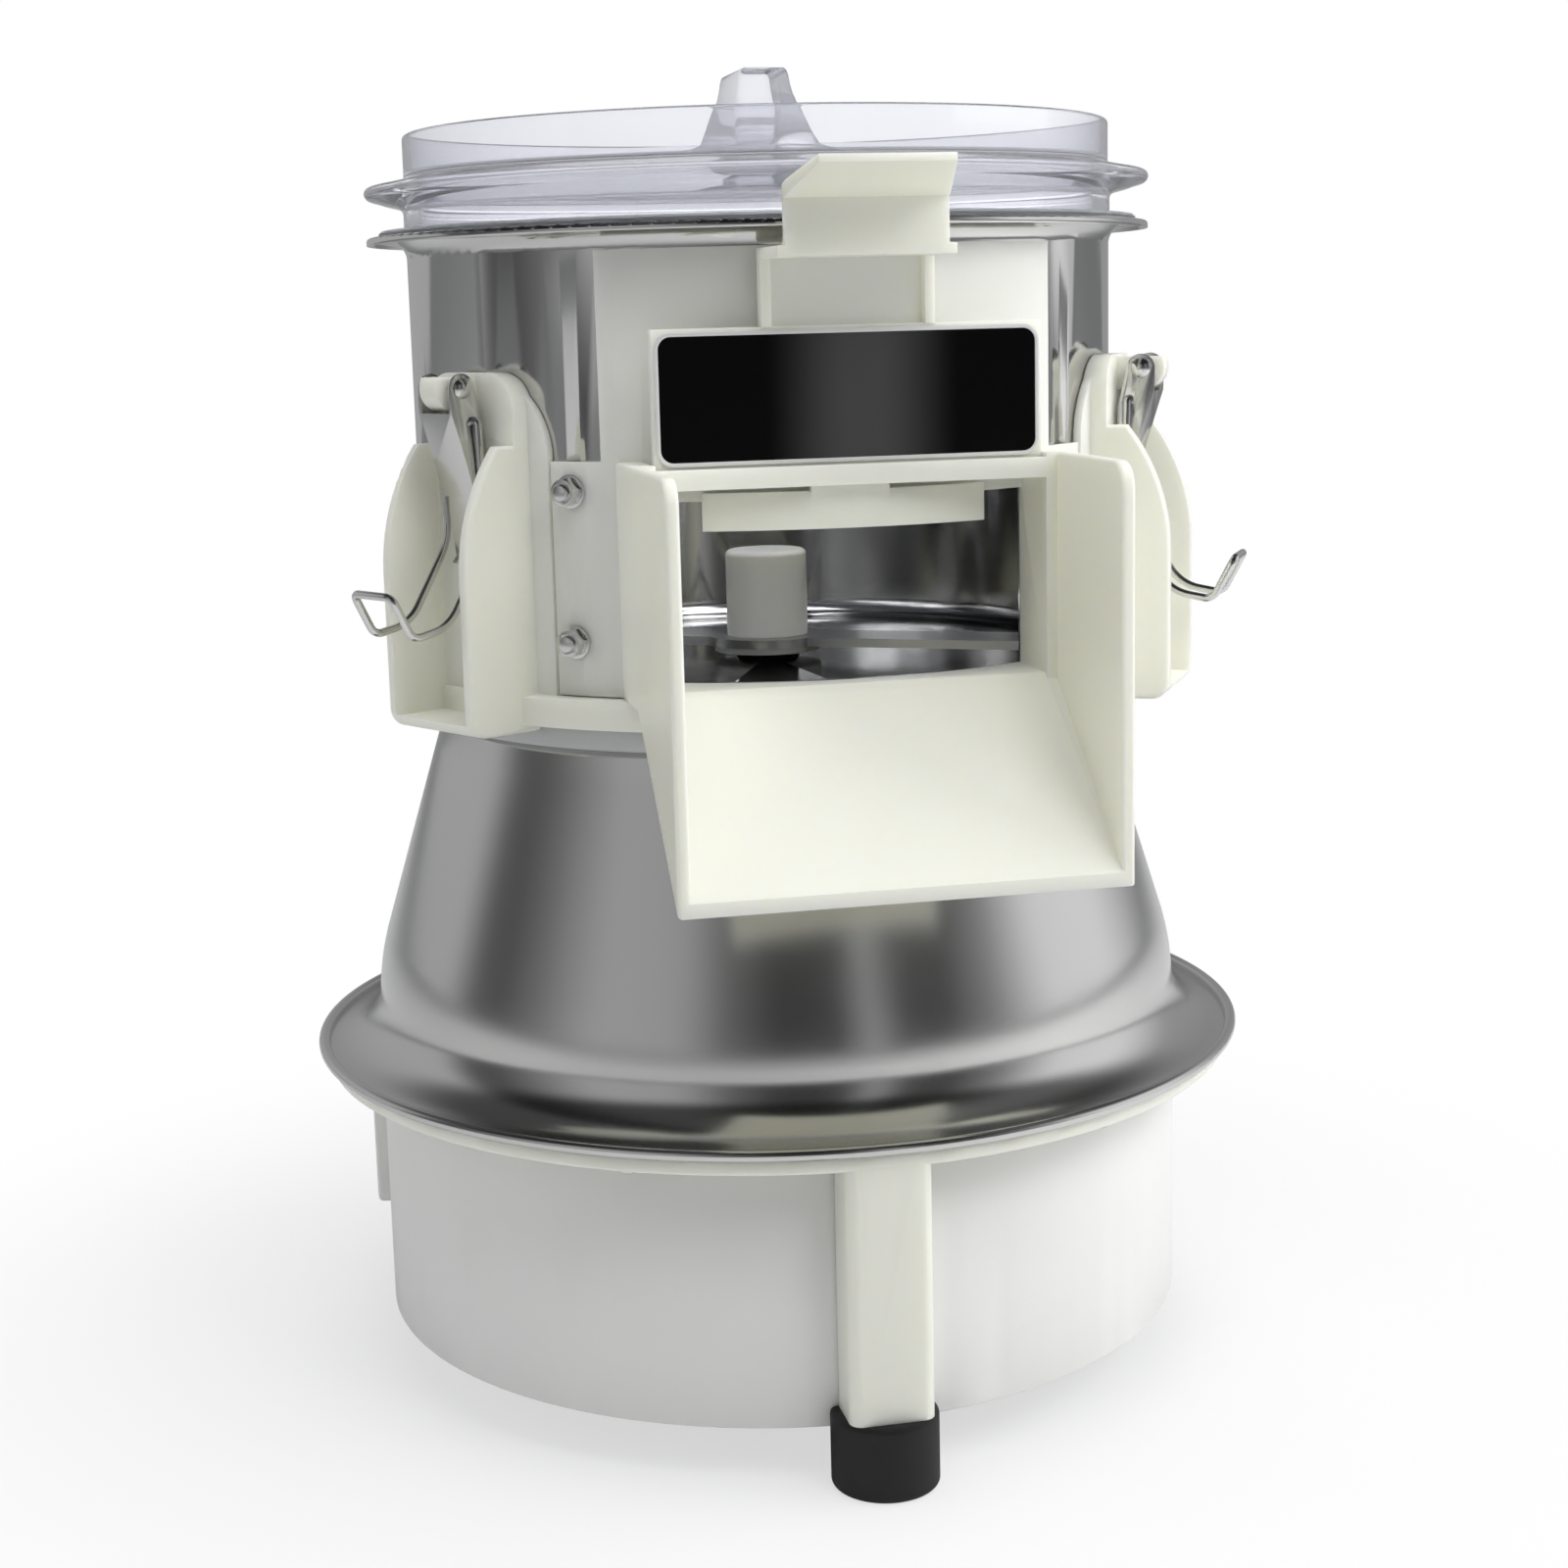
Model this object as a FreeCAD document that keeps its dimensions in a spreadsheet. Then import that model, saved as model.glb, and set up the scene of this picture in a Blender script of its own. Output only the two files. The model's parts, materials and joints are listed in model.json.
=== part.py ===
import FreeCAD, Part
import math
import os
import re
import Sketcher

# Chicken shredder: a clamped cooking-pot style drum on a bowl-shaped motor housing.
# Millimetres, +Z up. The origin is on the machine's vertical axis at floor level.
# The discharge chute faces -Y. Azimuths are counted from the chute towards +X.

os.makedirs("parts", exist_ok=True)
doc = FreeCAD.newDocument("chicken_shredder")
sheet = doc.addObject("Spreadsheet::Sheet", "Sheet")

SIZES = [
    # base
    ("foot_radius", 17.0, "rubber foot, round"),
    ("foot_height", 24.5, "floor to underside of the leg"),
    ("leg_spread", 130.0, "azimuth of the two rear legs"),
    ("leg_width", 27.0, "leg across its face"),
    ("leg_depth", 16.9, "leg, front to back"),
    ("leg_edge", 4.0, "rounding of the leg's upright edges"),
    ("peg_radius", 7.5, "round peg under the leg, inside the foot"),
    ("peg_length", 14.0, "how far the peg reaches into the foot"),
    ("fit_gap", 0.05, "radial gap of a pin in its hole"),
    ("flange_bottom", 106.0, "underside of that flange"),
    ("flange_thick", 5.0, "thickness of that flange"),
    ("drum_radius", 140.5, "outside of the skirt drum"),
    ("drum_wall", 2.5, "wall of the skirt drum"),
    ("drum_bottom", 17.5, "lower edge of the skirt drum"),
    ("ledge_width", 5.0, "inner ledge that carries the bottom cover"),
    ("cover_thick", 2.5, "bottom cover sheet"),
    ("cover_recess", 2.0, "cover above the drum's lower edge"),
    ("vent_length", 34.0, "vent slot in the bottom cover"),
    ("vent_width", 4.0, "width of a vent slot"),
    ("vent_circle", 72.0, "axis to middle of the vent slots"),
    ("seat_gap", 0.3, "gap between seated curved pieces"),
    ("screw_radius", 2.0, "shank of the flange screws"),
    ("screw_head_radius", 3.6, "head of the flange screws"),
    ("screw_head_height", 2.4, "head of the flange screws"),
    # dome
    ("dome_flare", 18.2, "hollow curve of the flared foot"),
    ("dome_turn", 84.0, "curve between the flare and the straight wall"),
    ("sheet_wall", 1.2, "thickness of the stainless sheet"),
    ("bead_radius", 2.0, "half thickness of a rolled edge"),
    # drive
    ("motor_radius", 58.0, "motor can"),
    ("motor_height", 78.0, "motor can"),
    ("motor_plate_thick", 3.0, "that plate"),
    ("capacitor_gap", 20.0, "capacitor clear of the motor can"),
    ("shaft_radius", 6.0, "drive shaft"),
    ("coupling_radius", 13.0, "shaft coupling"),
    ("coupling_height", 20.0, "shaft coupling"),
    ("bearing_radius", 20.0, "flanged bearing under the pot"),
    ("bearing_height", 12.0, "flanged bearing under the pot"),
    ("capacitor_radius", 14.0, "motor capacitor"),
    ("capacitor_height", 46.0, "motor capacitor"),
    # pot
    ("neck_height", 10.0, "that ring"),
    ("neck_wall", 22.0, "that ring, inside to outside"),
    ("pot_radius", 118.0, "pot wall, outside"),
    ("pot_corner", 8.0, "rounding where the floor meets the wall"),
    ("pot_rim_blend", 6.0, "rounding under the rim"),
    # clamp ring and latch towers
    ("latch_spread", 59.0, "azimuth of the two front latches"),
    ("tower_back", 5.7, "back plate of a latch tower"),
    ("tower_half", 22.0, "half width over a tower's side fins"),
    ("tower_round", 12.0, "rounding of the back plate's top corners"),
    ("shoulder_half", 29.0, "half width of the thin wing behind a tower"),
    ("shoulder_thick", 2.4, "thickness of that wing"),
    ("shoulder_round", 26.0, "rounding of its top corners"),
    ("fin_thick", 3.5, "side fin of a latch tower"),
    ("fin_bow", 64.0, "radius of a fin's curved edge"),
    ("tower_floor", 4.0, "floor between the fins"),
    ("tower_toe", 6.0, "rounding of a tower's lower outer corner"),
    ("ear_half", 4.2, "half width of the ear that holds the latch pin"),
    ("ear_round", 6.9, "ear's rounded end, about the pin"),
    ("pin_radius", 2.0, "latch pin"),
    ("pin_head_radius", 3.2, "domed head of the latch pin"),
    ("pin_head_height", 1.6, "domed head of the latch pin"),
    # latch lever and bail
    ("lever_half", 8.4, "half width of the pressed lever"),
    ("lever_wall", 1.0, "sheet of the lever"),
    ("tongue_half", 5.0, "half width of the lever's finger tab"),
    ("cheek_round", 4.6, "cheek's rounding about the pin"),
    ("wire_radius", 1.25, "bail wire"),
    ("bail_half", 10.1, "half distance between the bail's legs"),
    ("bail_knee_in", 1.5, "bail's legs lean in to the knee"),
    ("bail_knee_drop", 37.5, "pivot down to the knee"),
    ("bail_bow_out", 14.5, "pivot out to the bow's lower bend"),
    ("bail_bow_drop", 62.0, "pivot down to that bend"),
    ("bail_hook_out", 28.0, "pivot out to the hook's bend"),
    ("bail_hook_drop", 64.5, "pivot down to that bend"),
    ("bail_tip_out", 35.0, "pivot out to the crossbar"),
    ("bail_tip_drop", 51.0, "pivot down to the crossbar"),
    ("bail_bend", 4.0, "bends of the bail wire"),
    ("bail_corner", 2.8, "tight bends at the pivot and the crossbar"),
    # discharge outlet
    ("outlet_gap", 0.3, "outlet saddle off the pot wall"),
    ("saddle_wall", 2.0, "outlet saddle, hugging the pot"),
    ("wing_angle", 44.6, "half angle of the bolted saddle"),
    ("panel_angle", 36.0, "half angle of the tall panel above it"),
    ("opening_half", 59.4, "half width of the discharge opening"),
    ("chute_wall", 4.0, "chute's side walls"),
    ("chute_floor", 3.2, "chute's sloping floor"),
    ("chute_corner", 8.0, "rounding of the walls' top front corners"),
    ("bar_thick", 3.0, "cross bar over the opening"),
    ("bolt_angle", 41.2, "azimuth of the outlet bolts"),
    ("bolt_radius", 2.45, "outlet bolts"),
    ("bolt_head_radius", 4.6, "domed bolt head inside the pot"),
    ("bolt_head_height", 2.4, "that head"),
    ("nut_flats", 8.0, "hexagon nut across its flats"),
    ("nut_height", 4.0, "hexagon nut"),
    ("washer_radius", 5.2, "washer under the nut"),
    ("washer_thick", 1.0, "washer under the nut"),
    # discharge gate, drawn raised as in the open position
    ("gate_thick", 4.6, "gate plate"),
    ("gate_travel", 46.0, "how far the gate drops to close"),
    ("lip_angle", 20.6, "half angle of the gate's curved lower lip"),
    ("slit_height", 1.8, "slits between the gate plate and its lip"),
    ("tab_half", 12.0, "half width of the tab that joins them"),
    ("lip_thick", 3.6, "gate's curved lower lip"),
    ("stem_half", 26.2, "half width over the gate's stem"),
    ("stem_rib", 3.0, "rib along each side of the stem"),
    ("stem_web", 2.0, "thin web between the ribs"),
    ("handle_thick", 3.0, "gate handle"),
    ("handle_half", 24.0, "half width of the gate handle"),
    ("lip_half", 19.5, "half width of that edge"),
    ("badge_thick", 0.6, "name plate sheet"),
    ("badge_corner", 5.0, "name plate corners"),
    # lid
    ("lid_wall", 2.5, "clear lid"),
    ("plug_depth", 6.0, "how far that collar drops in"),
    ("knob_top_half", 11.8, "half width of the handle at its top"),
    ("knob_mid_half", 15.8, "half width of the handle there"),
    ("knob_low_half", 20.5, "half width of the handle there"),
    ("knob_foot_half", 29.0, "half width of the handle's flared foot"),
    ("knob_length", 26.0, "how much longer than wide the handle is, each way"),
    ("knob_corner", 6.0, "corners of the handle"),
    # rotor
    ("hub_radius", 14.0, "rotor hub"),
    ("hub_foot_radius", 18.5, "flange at the hub's foot"),
    ("hub_foot_thick", 2.4, "flange at the hub's foot"),
    ("blade_angle", 60.0, "azimuth of the blade at rest"),
    ("blade_width", 22.0, "blade arm"),
    ("blade_thick", 3.0, "blade arm"),
    ("blade_middle", 21.0, "blade's round middle"),
    ("blade_bend", 8.0, "bend where the tip turns up"),
    ("blade_tip_half", 6.0, "half width of the tip at its end"),
    ("seal_radius", 11.0, "shaft seal in the pot's floor"),
    ("seal_height", 3.0, "shaft seal"),
    # switch and cable inlet
    ("switch_angle", -101.0, "azimuth of the switch pod"),
    ("switch_half", 13.0, "half width of the switch pod"),
    ("switch_bottom", 49.0, "switch pod"),
    ("switch_top", 95.0, "switch pod"),
    ("switch_proud", 4.0, "switch pod in front of the drum"),
    ("rocker_half", 6.5, "half width of the rocker"),
    ("rocker_length", 22.0, "length of the rocker"),
    ("rocker_tilt", 10.0, "tilt of the rocker each way"),
    ("rocker_face", 6.0, "rocker's ends in front of its pivot"),
    ("gland_angle", 178.0, "azimuth of the cable inlet"),
    ("gland_height", 58.0, "height of the cable inlet"),
    ("gland_radius", 9.0, "cable inlet nut"),
    ("gland_reach", 14.0, "cable inlet outside the drum"),
    ("gland_bore", 3.6, "hole for the cord"),
    ("gland_neck", 6.0, "threaded neck through the drum"),
]

# Values that follow another one: name, what it starts from, what is added, meaning.
FOLLOWING = [
    ("motor_bolt_circle", "motor_radius", 8.0, "motor bolts round the can"),
    ("foot_circle", "drum_radius", 4.5, "machine axis to foot axis"),
    ("flange_radius", "drum_radius", 17.5, "round top flange of the base frame"),
    ("flange_bore", "drum_radius", -22.5, "opening of that flange for the motor"),
    ("screw_circle", "drum_radius", 9.5, "circle of the flange screws"),
    ("motor_plate_radius", "drum_radius", -8.5, "round plate that carries the motor"),
    ("dome_rim_radius", "flange_radius", 4.0, "outside of the dome's rolled rim"),
    ("dome_foot_radius", "dome_rim_radius", -22.2, "dome wall just above its flared foot"),
    ("dome_foot_height", "flange_bottom + flange_thick", 19.0, "height of that point"),
    ("dome_mid_radius", "dome_foot_radius", -3.3, "dome wall where it straightens"),
    ("dome_mid_height", "flange_bottom + flange_thick", 39.0, "height of that point"),
    ("dome_top_radius", "pot_radius", -4.0, "dome wall at its top"),
    ("dome_top_height", "flange_bottom + flange_thick", 116.0, "height of the dome's flat top"),
    ("neck_radius", "pot_radius", 1.0, "grey spacer ring between dome and pot"),
    ("pot_floor", "dome_top_height + neck_height", 3.0, "underside of the pot's floor"),
    ("pot_rim_radius", "pot_radius", 13.0, "pot's flat rim, outside"),
    ("pot_rim_top", "pot_floor", 146.0, "top of the pot's rim"),
    ("ring_radius", "pot_radius", 9.0, "clamp ring round the foot of the pot"),
    ("ring_bottom", "pot_floor", -5.0, "lower edge of that ring"),
    ("ring_top", "pot_floor", 4.0, "upper edge of that ring"),
    ("ring_ledge", "pot_radius", -16.0, "inner radius of the ledge under the pot"),
    ("tower_top", "pot_floor", 103.0, "top of a tower's back plate"),
    ("shoulder_top", "pot_floor", 103.0, "top of that wing"),
    ("fin_reach", "pot_radius", 26.5, "axis to the outer edge of a fin"),
    ("fin_top", "pot_floor", 81.0, "top of a fin"),
    ("fin_top_reach", "pot_radius", 12.5, "axis to the outer end of a fin's top"),
    ("fin_shoulder", "pot_floor", 41.0, "height where a fin's edge turns upright"),
    ("tower_bottom", "pot_floor", -7.5, "lower edge of a latch tower"),
    ("ear_top", "pin_height", 3.5, "flat top of the ear"),
    ("pin_reach", "pot_radius", 14.5, "axis to latch pin"),
    ("pin_height", "pot_floor", 98.5, "height of the latch pin"),
    ("lever_head_reach", "pin_reach", 4.4, "lever's face at its upper edge"),
    ("lever_head_height", "pin_height", -7.5, "height of that edge"),
    ("lever_mid_reach", "pin_reach", -0.7, "lever's face half way down"),
    ("lever_mid_height", "pin_height", -23.8, "height of that point"),
    ("lever_waist_reach", "pin_reach", -3.3, "lever's face where it narrows"),
    ("lever_waist_height", "pin_height", -33.5, "height of that point"),
    ("lever_tip_reach", "pin_reach", -4.5, "lever's face at its lower tip"),
    ("lever_tip_height", "pin_height", -54.0, "height of the tip"),
    ("cheek_reach", "pin_reach", -7.6, "inner edge of the lever's cheeks"),
    ("bail_reach", "pin_reach", -4.0, "axis to the bail's pivot"),
    ("bail_height", "pin_height", -10.0, "height of the bail's pivot"),
    ("saddle_bottom", "ring_top", 0.4, "lower edge of the saddle"),
    ("panel_top", "pot_rim_top", -7.5, "top of the tall panel"),
    ("opening_bottom", "pot_floor", 9.0, "lower edge of the opening"),
    ("opening_top", "pot_floor", 64.0, "upper edge of the opening"),
    ("chute_half", "opening_half", 7.4, "half width over the chute's side walls"),
    ("chute_reach", "pot_radius", 68.0, "axis to the chute's mouth"),
    ("chute_top", "pot_floor", 76.0, "top edge of the side walls"),
    ("chute_lip", "pot_floor", -45.5, "lowest edge of the chute's mouth"),
    ("slot_front", "gate_back + gate_thick", 1.0, "back of the cross bar that guides the gate"),
    ("bar_bottom", "pot_floor", 68.5, "cross bar over the opening"),
    ("bar_top", "bar_bottom", 6.0, "cross bar over the opening"),
    ("bolt_low", "pot_floor", 21.0, "height of the lower bolts"),
    ("bolt_high", "pot_floor", 67.0, "height of the upper bolts"),
    ("gate_back", "pot_radius", 2.6, "axis to the gate's back face"),
    ("gate_half", "opening_half", -0.4, "half width of the gate plate"),
    ("gate_top", "bar_bottom", 46.5, "top of the gate plate, raised"),
    ("lip_bottom", "bar_bottom", -13.1, "lower edge of that lip, raised"),
    ("stem_front", "gate_back", 5.3, "axis to the front of the ribs"),
    ("ledge_top", "pot_rim_top", -8.5, "top of the step that clears the pot's rim"),
    ("handle_reach", "pot_radius", 32.0, "axis to the handle's front face"),
    ("handle_crease", "ledge_top", 16.0, "height where the pull lip turns out"),
    ("lip_reach", "handle_reach", 24.0, "axis to the edge of the pull lip"),
    ("lip_rise", "handle_crease", 7.5, "height of that edge"),
    ("badge_half", "gate_half", -0.7, "half width of the blank name plate"),
    ("badge_bottom", "bar_top", 0.7, "lower edge of the name plate"),
    ("badge_top", "gate_top", -1.0, "upper edge of the name plate"),
    ("lid_radius", "pot_radius", -0.2, "lid's raised rim, outside"),
    ("lid_top", "pot_rim_top", 33.0, "top of the raised rim"),
    ("lid_plate", "pot_rim_top", 17.0, "underside of the lid's sunk plate"),
    ("lid_flange_radius", "pot_rim_radius", 0.2, "lid's clamping flange"),
    ("lid_flange_bottom", "pot_rim_top", 12.0, "underside of that flange"),
    ("lid_flange_top", "pot_rim_top", 18.4, "top of that flange at its root"),
    ("lid_edge", "pot_rim_top", 15.6, "top of that flange at its edge"),
    ("lid_skirt_radius", "pot_radius", 0.4, "skirt between flange and pot rim"),
    ("plug_radius", "pot_radius", -2.4, "collar that drops into the pot"),
    ("knob_top", "pot_rim_top", 53.0, "top of the lid's handle"),
    ("knob_mid_height", "pot_rim_top", 41.0, "height where the handle starts to flare"),
    ("knob_low_height", "pot_rim_top", 27.0, "height in the handle's flare"),
    ("gasket_reach", "pot_radius", 9.0, "lid's soft ring, outside"),
    ("hub_bottom", "pot_floor", 3.6, "underside of the rotor hub"),
    ("hub_top", "hub_bottom", 34.9, "top of the rotor hub"),
    ("blade_reach", "pot_radius", -19.0, "axis to the blade's tip"),
    ("blade_tip", "hub_bottom", 32.4, "height of the upturned tips"),
    ("rocker_reach", "drum_radius", -4.1, "axis to the rocker's pivot"),
]

CELLS = SIZES + [(alias + "_added", added, note) for alias, base, added, note in FOLLOWING]
for row, (alias, number, note) in enumerate(CELLS, start=1):
    sheet.set("A%d" % row, alias)
    sheet.set("B%d" % row, str(number))
    sheet.set("C%d" % row, note)
    sheet.setAlias("B%d" % row, alias)
doc.recompute()

ALIASES = {alias for alias, number, note in CELLS}
BASES = {alias: base for alias, base, added, note in FOLLOWING}
NODES = []


# Expressions are written with bare names; a following value is spelled out from its start.
def bound(expression):
    def named(match):
        word = match.group(0)
        if word in BASES:
            return "(%s + Sheet.%s_added)" % (bound(BASES[word]), word)
        return "Sheet." + word if word in ALIASES else word
    return re.sub(r"[a-z_]+", named, str(expression))


def size(expression):
    return float(doc.Sheet.evalExpression(bound(expression)))


def bind(item, prop, expression):
    item.setExpression(prop, bound(expression))


def sub_part(label):
    body = doc.addObject("PartDesign::Body", label)
    body.Label = label
    NODES.append(body)
    return body


def cut_front(body, name, corners, length):
    # A pocket from the machine's axis outwards towards the chute.
    sketch = drawing(body, name, "XZ_Plane")
    outline(sketch, corners)
    cut = feature(body, "Pocket", sketch, name + "_cut")
    cut.Reversed = True
    bind(cut, "Length", length)
    return cut


def drill(body, name, azimuth, height, radius, length):
    # A round hole from the machine's axis outwards at the given azimuth.
    sketch = drawing(body, name, "XZ_Plane")
    sketch.AttachmentOffset = FreeCAD.Placement(
        FreeCAD.Vector(0, 0, 0), FreeCAD.Rotation(FreeCAD.Vector(0, 1, 0), size(azimuth))
    )
    bind(sketch, "AttachmentOffset.Rotation.Angle", azimuth)
    circle(sketch, "0", height, radius)
    cut = feature(body, "Pocket", sketch, name + "_cut")
    cut.Reversed = True
    bind(cut, "Length", length)
    return cut


def drill_outlet(body, name):
    for side, azimuth in (("left", "-bolt_angle"), ("right", "bolt_angle")):
        for level in ("bolt_low", "bolt_high"):
            drill(
                body, "%s_%s_%s" % (name, side, level[5:]), azimuth, level,
                "bolt_radius + fit_gap", "pot_radius + 12"
            )


def round_edges(body, name, radius, wanted, kind="Fillet"):
    doc.recompute()
    base = body.Tip
    names = [
        "Edge%d" % number for number, edge in enumerate(base.Shape.Edges, start=1)
        if wanted(edge.BoundBox)
    ]
    if not names:
        raise RuntimeError("no edges for " + name)
    item = body.newObject("PartDesign::" + kind, name)
    item.Base = (base, names)
    bind(item, "Radius" if kind == "Fillet" else "Size", radius)
    return item


def solid_part(label, shape):
    item = doc.addObject("Part::Feature", label)
    item.Shape = shape
    item.Label = label
    NODES.append(item)
    return item


def turn(item, azimuth):
    # A piece is drawn in the chute's plane and turned about the machine's axis.
    item.Placement = FreeCAD.Placement(
        FreeCAD.Vector(0, 0, 0), FreeCAD.Rotation(FreeCAD.Vector(0, 0, 1), size(azimuth))
    )
    bind(item, "Placement.Rotation.Angle", azimuth)


def base_plane(body, role):
    for feature in body.Origin.OriginFeatures:
        if feature.Role == role:
            return feature
    raise RuntimeError("no plane " + role)


def place_constraint(sketch, edge, end, axis, expression):
    number = size(expression)
    kind = "DistanceX" if axis == 0 else "DistanceY"
    if abs(number) < 1e-9:
        sketch.addConstraint(Sketcher.Constraint("PointOnObject", edge, end, -2 if axis == 0 else -1))
        return
    if number > 0:
        item = sketch.addConstraint(Sketcher.Constraint(kind, -1, 1, edge, end, number))
        sketch.setExpression("Constraints[%d]" % item, bound(expression))
        return
    item = sketch.addConstraint(Sketcher.Constraint(kind, edge, end, -1, 1, -number))
    sketch.setExpression("Constraints[%d]" % item, bound("-(%s)" % expression))


def arc_between(start, end, radius):
    # radius > 0 bows to the right of start-to-end, < 0 to the left.
    middle = (start + end) * 0.5
    chord = end - start
    half = chord.Length / 2
    left = FreeCAD.Vector(-chord.y, chord.x, 0).normalize()
    reach = math.sqrt(max(radius * radius - half * half, 0.0))
    centre = middle + left * (reach if radius > 0 else -reach)
    circle = Part.Circle(centre, FreeCAD.Vector(0, 0, 1), abs(radius))
    first, last = (start, end) if radius > 0 else (end, start)
    angle_one = math.atan2(first.y - centre.y, first.x - centre.x)
    angle_two = math.atan2(last.y - centre.y, last.x - centre.x)
    if angle_two <= angle_one:
        angle_two += 2 * math.pi
    return Part.ArcOfCircle(circle, angle_one, angle_two), radius > 0


def outline(sketch, corners):
    # Each corner is (across, up) or (across, up, radius of the arc to the next corner).
    points = [FreeCAD.Vector(size(corner[0]), size(corner[1]), 0) for corner in corners]
    ends = []
    for index, corner in enumerate(corners):
        start = points[index]
        stop = points[(index + 1) % len(points)]
        if len(corner) == 3:
            arc, forward = arc_between(start, stop, size(corner[2]))
            edge = sketch.addGeometry(arc, False)
            ends.append((edge, 1, 2) if forward else (edge, 2, 1))
        else:
            edge = sketch.addGeometry(Part.LineSegment(start, stop), False)
            ends.append((edge, 1, 2))
    for index, corner in enumerate(corners):
        edge, start, stop = ends[index]
        following, next_start, unused = ends[(index + 1) % len(ends)]
        sketch.addConstraint(Sketcher.Constraint("Coincident", edge, stop, following, next_start))
        place_constraint(sketch, edge, start, 0, corner[0])
        place_constraint(sketch, edge, start, 1, corner[1])
        if len(corner) == 3:
            item = sketch.addConstraint(Sketcher.Constraint("Radius", edge, abs(size(corner[2]))))
            sketch.setExpression("Constraints[%d]" % item, bound("abs(%s)" % corner[2]))


def circle(sketch, across, up, radius):
    centre = FreeCAD.Vector(size(across), size(up), 0)
    edge = sketch.addGeometry(Part.Circle(centre, FreeCAD.Vector(0, 0, 1), size(radius)), False)
    place_constraint(sketch, edge, 3, 0, across)
    place_constraint(sketch, edge, 3, 1, up)
    item = sketch.addConstraint(Sketcher.Constraint("Radius", edge, size(radius)))
    sketch.setExpression("Constraints[%d]" % item, bound(radius))


def drawing(body, name, role, lift=None):
    sketch = body.newObject("Sketcher::SketchObject", name)
    sketch.AttachmentSupport = (base_plane(body, role), [""])
    sketch.MapMode = "FlatFace"
    if lift is not None:
        sketch.AttachmentOffset.Base.z = size(lift)
        bind(sketch, "AttachmentOffset.Base.z", lift)
    return sketch


def feature(body, kind, sketch, name):
    item = body.newObject("PartDesign::" + kind, name)
    item.Profile = sketch
    sketch.Visibility = False
    return item


def centred(item, length):
    item.Midplane = True
    bind(item, "Length", length)
    return item


def turned(body, kind, sketch, name, angle="360"):
    item = feature(body, kind, sketch, name)
    item.ReferenceAxis = (sketch, ["V_Axis"])
    item.Midplane = True
    bind(item, "Angle", angle)
    return item


# A sketch on the YZ plane reads across = Y and up = Z, so a reach of r stands at Y = -r.
def side_sketch(body, name, corners):
    sketch = drawing(body, name, "YZ_Plane")
    outline(sketch, [("-(%s)" % corner[0],) + corner[1:] for corner in corners])
    return sketch


def ring_part(label, corners, name="section"):
    body = sub_part(label)
    sketch = drawing(body, label + "_" + name, "XZ_Plane")
    outline(sketch, corners)
    turned(body, "Revolution", sketch, label + "_turned")
    return body


def plan_sketch(body, name, corners, lift):
    sketch = drawing(body, name, "XY_Plane", lift)
    outline(sketch, corners)
    return sketch


def extrude(body, kind, sketch, name, length, reverse=False):
    item = feature(body, kind, sketch, name)
    item.Reversed = reverse
    bind(item, "Length", length)
    return item


def around(body, source, name, count, angle="360"):
    pattern = body.newObject("PartDesign::PolarPattern", name)
    pattern.Originals = [source]
    pattern.Axis = (base_plane(body, "Z_Axis"), [""])
    bind(pattern, "Angle", angle)
    pattern.Occurrences = count
    body.Tip = pattern
    return pattern


def cylinder(radius, low, high, across=0.0, reach=0.0):
    return Part.makeCylinder(radius, high - low, FreeCAD.Vector(across, -reach, low))


def radial_rod(radius, inner, outer, height):
    # A rod along the chute's direction, at the given height on the machine's axis.
    return Part.makeCylinder(
        radius, outer - inner, FreeCAD.Vector(0, -inner, height), FreeCAD.Vector(0, -1, 0)
    )


def spun(shape, azimuth):
    copy = shape.copy()
    copy.rotate(FreeCAD.Vector(0, 0, 0), FreeCAD.Vector(0, 0, 1), azimuth)
    return copy


LEGS = {"front": "0", "right": "leg_spread", "left": "-(leg_spread)"}


def turn_sketch(sketch, azimuth):
    # The drawing is turned in its own plane about the machine's axis.
    sketch.AttachmentOffset.Rotation = FreeCAD.Rotation(FreeCAD.Vector(0, 0, 1), size(azimuth))
    bind(sketch, "AttachmentOffset.Rotation.Angle", azimuth)


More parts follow.
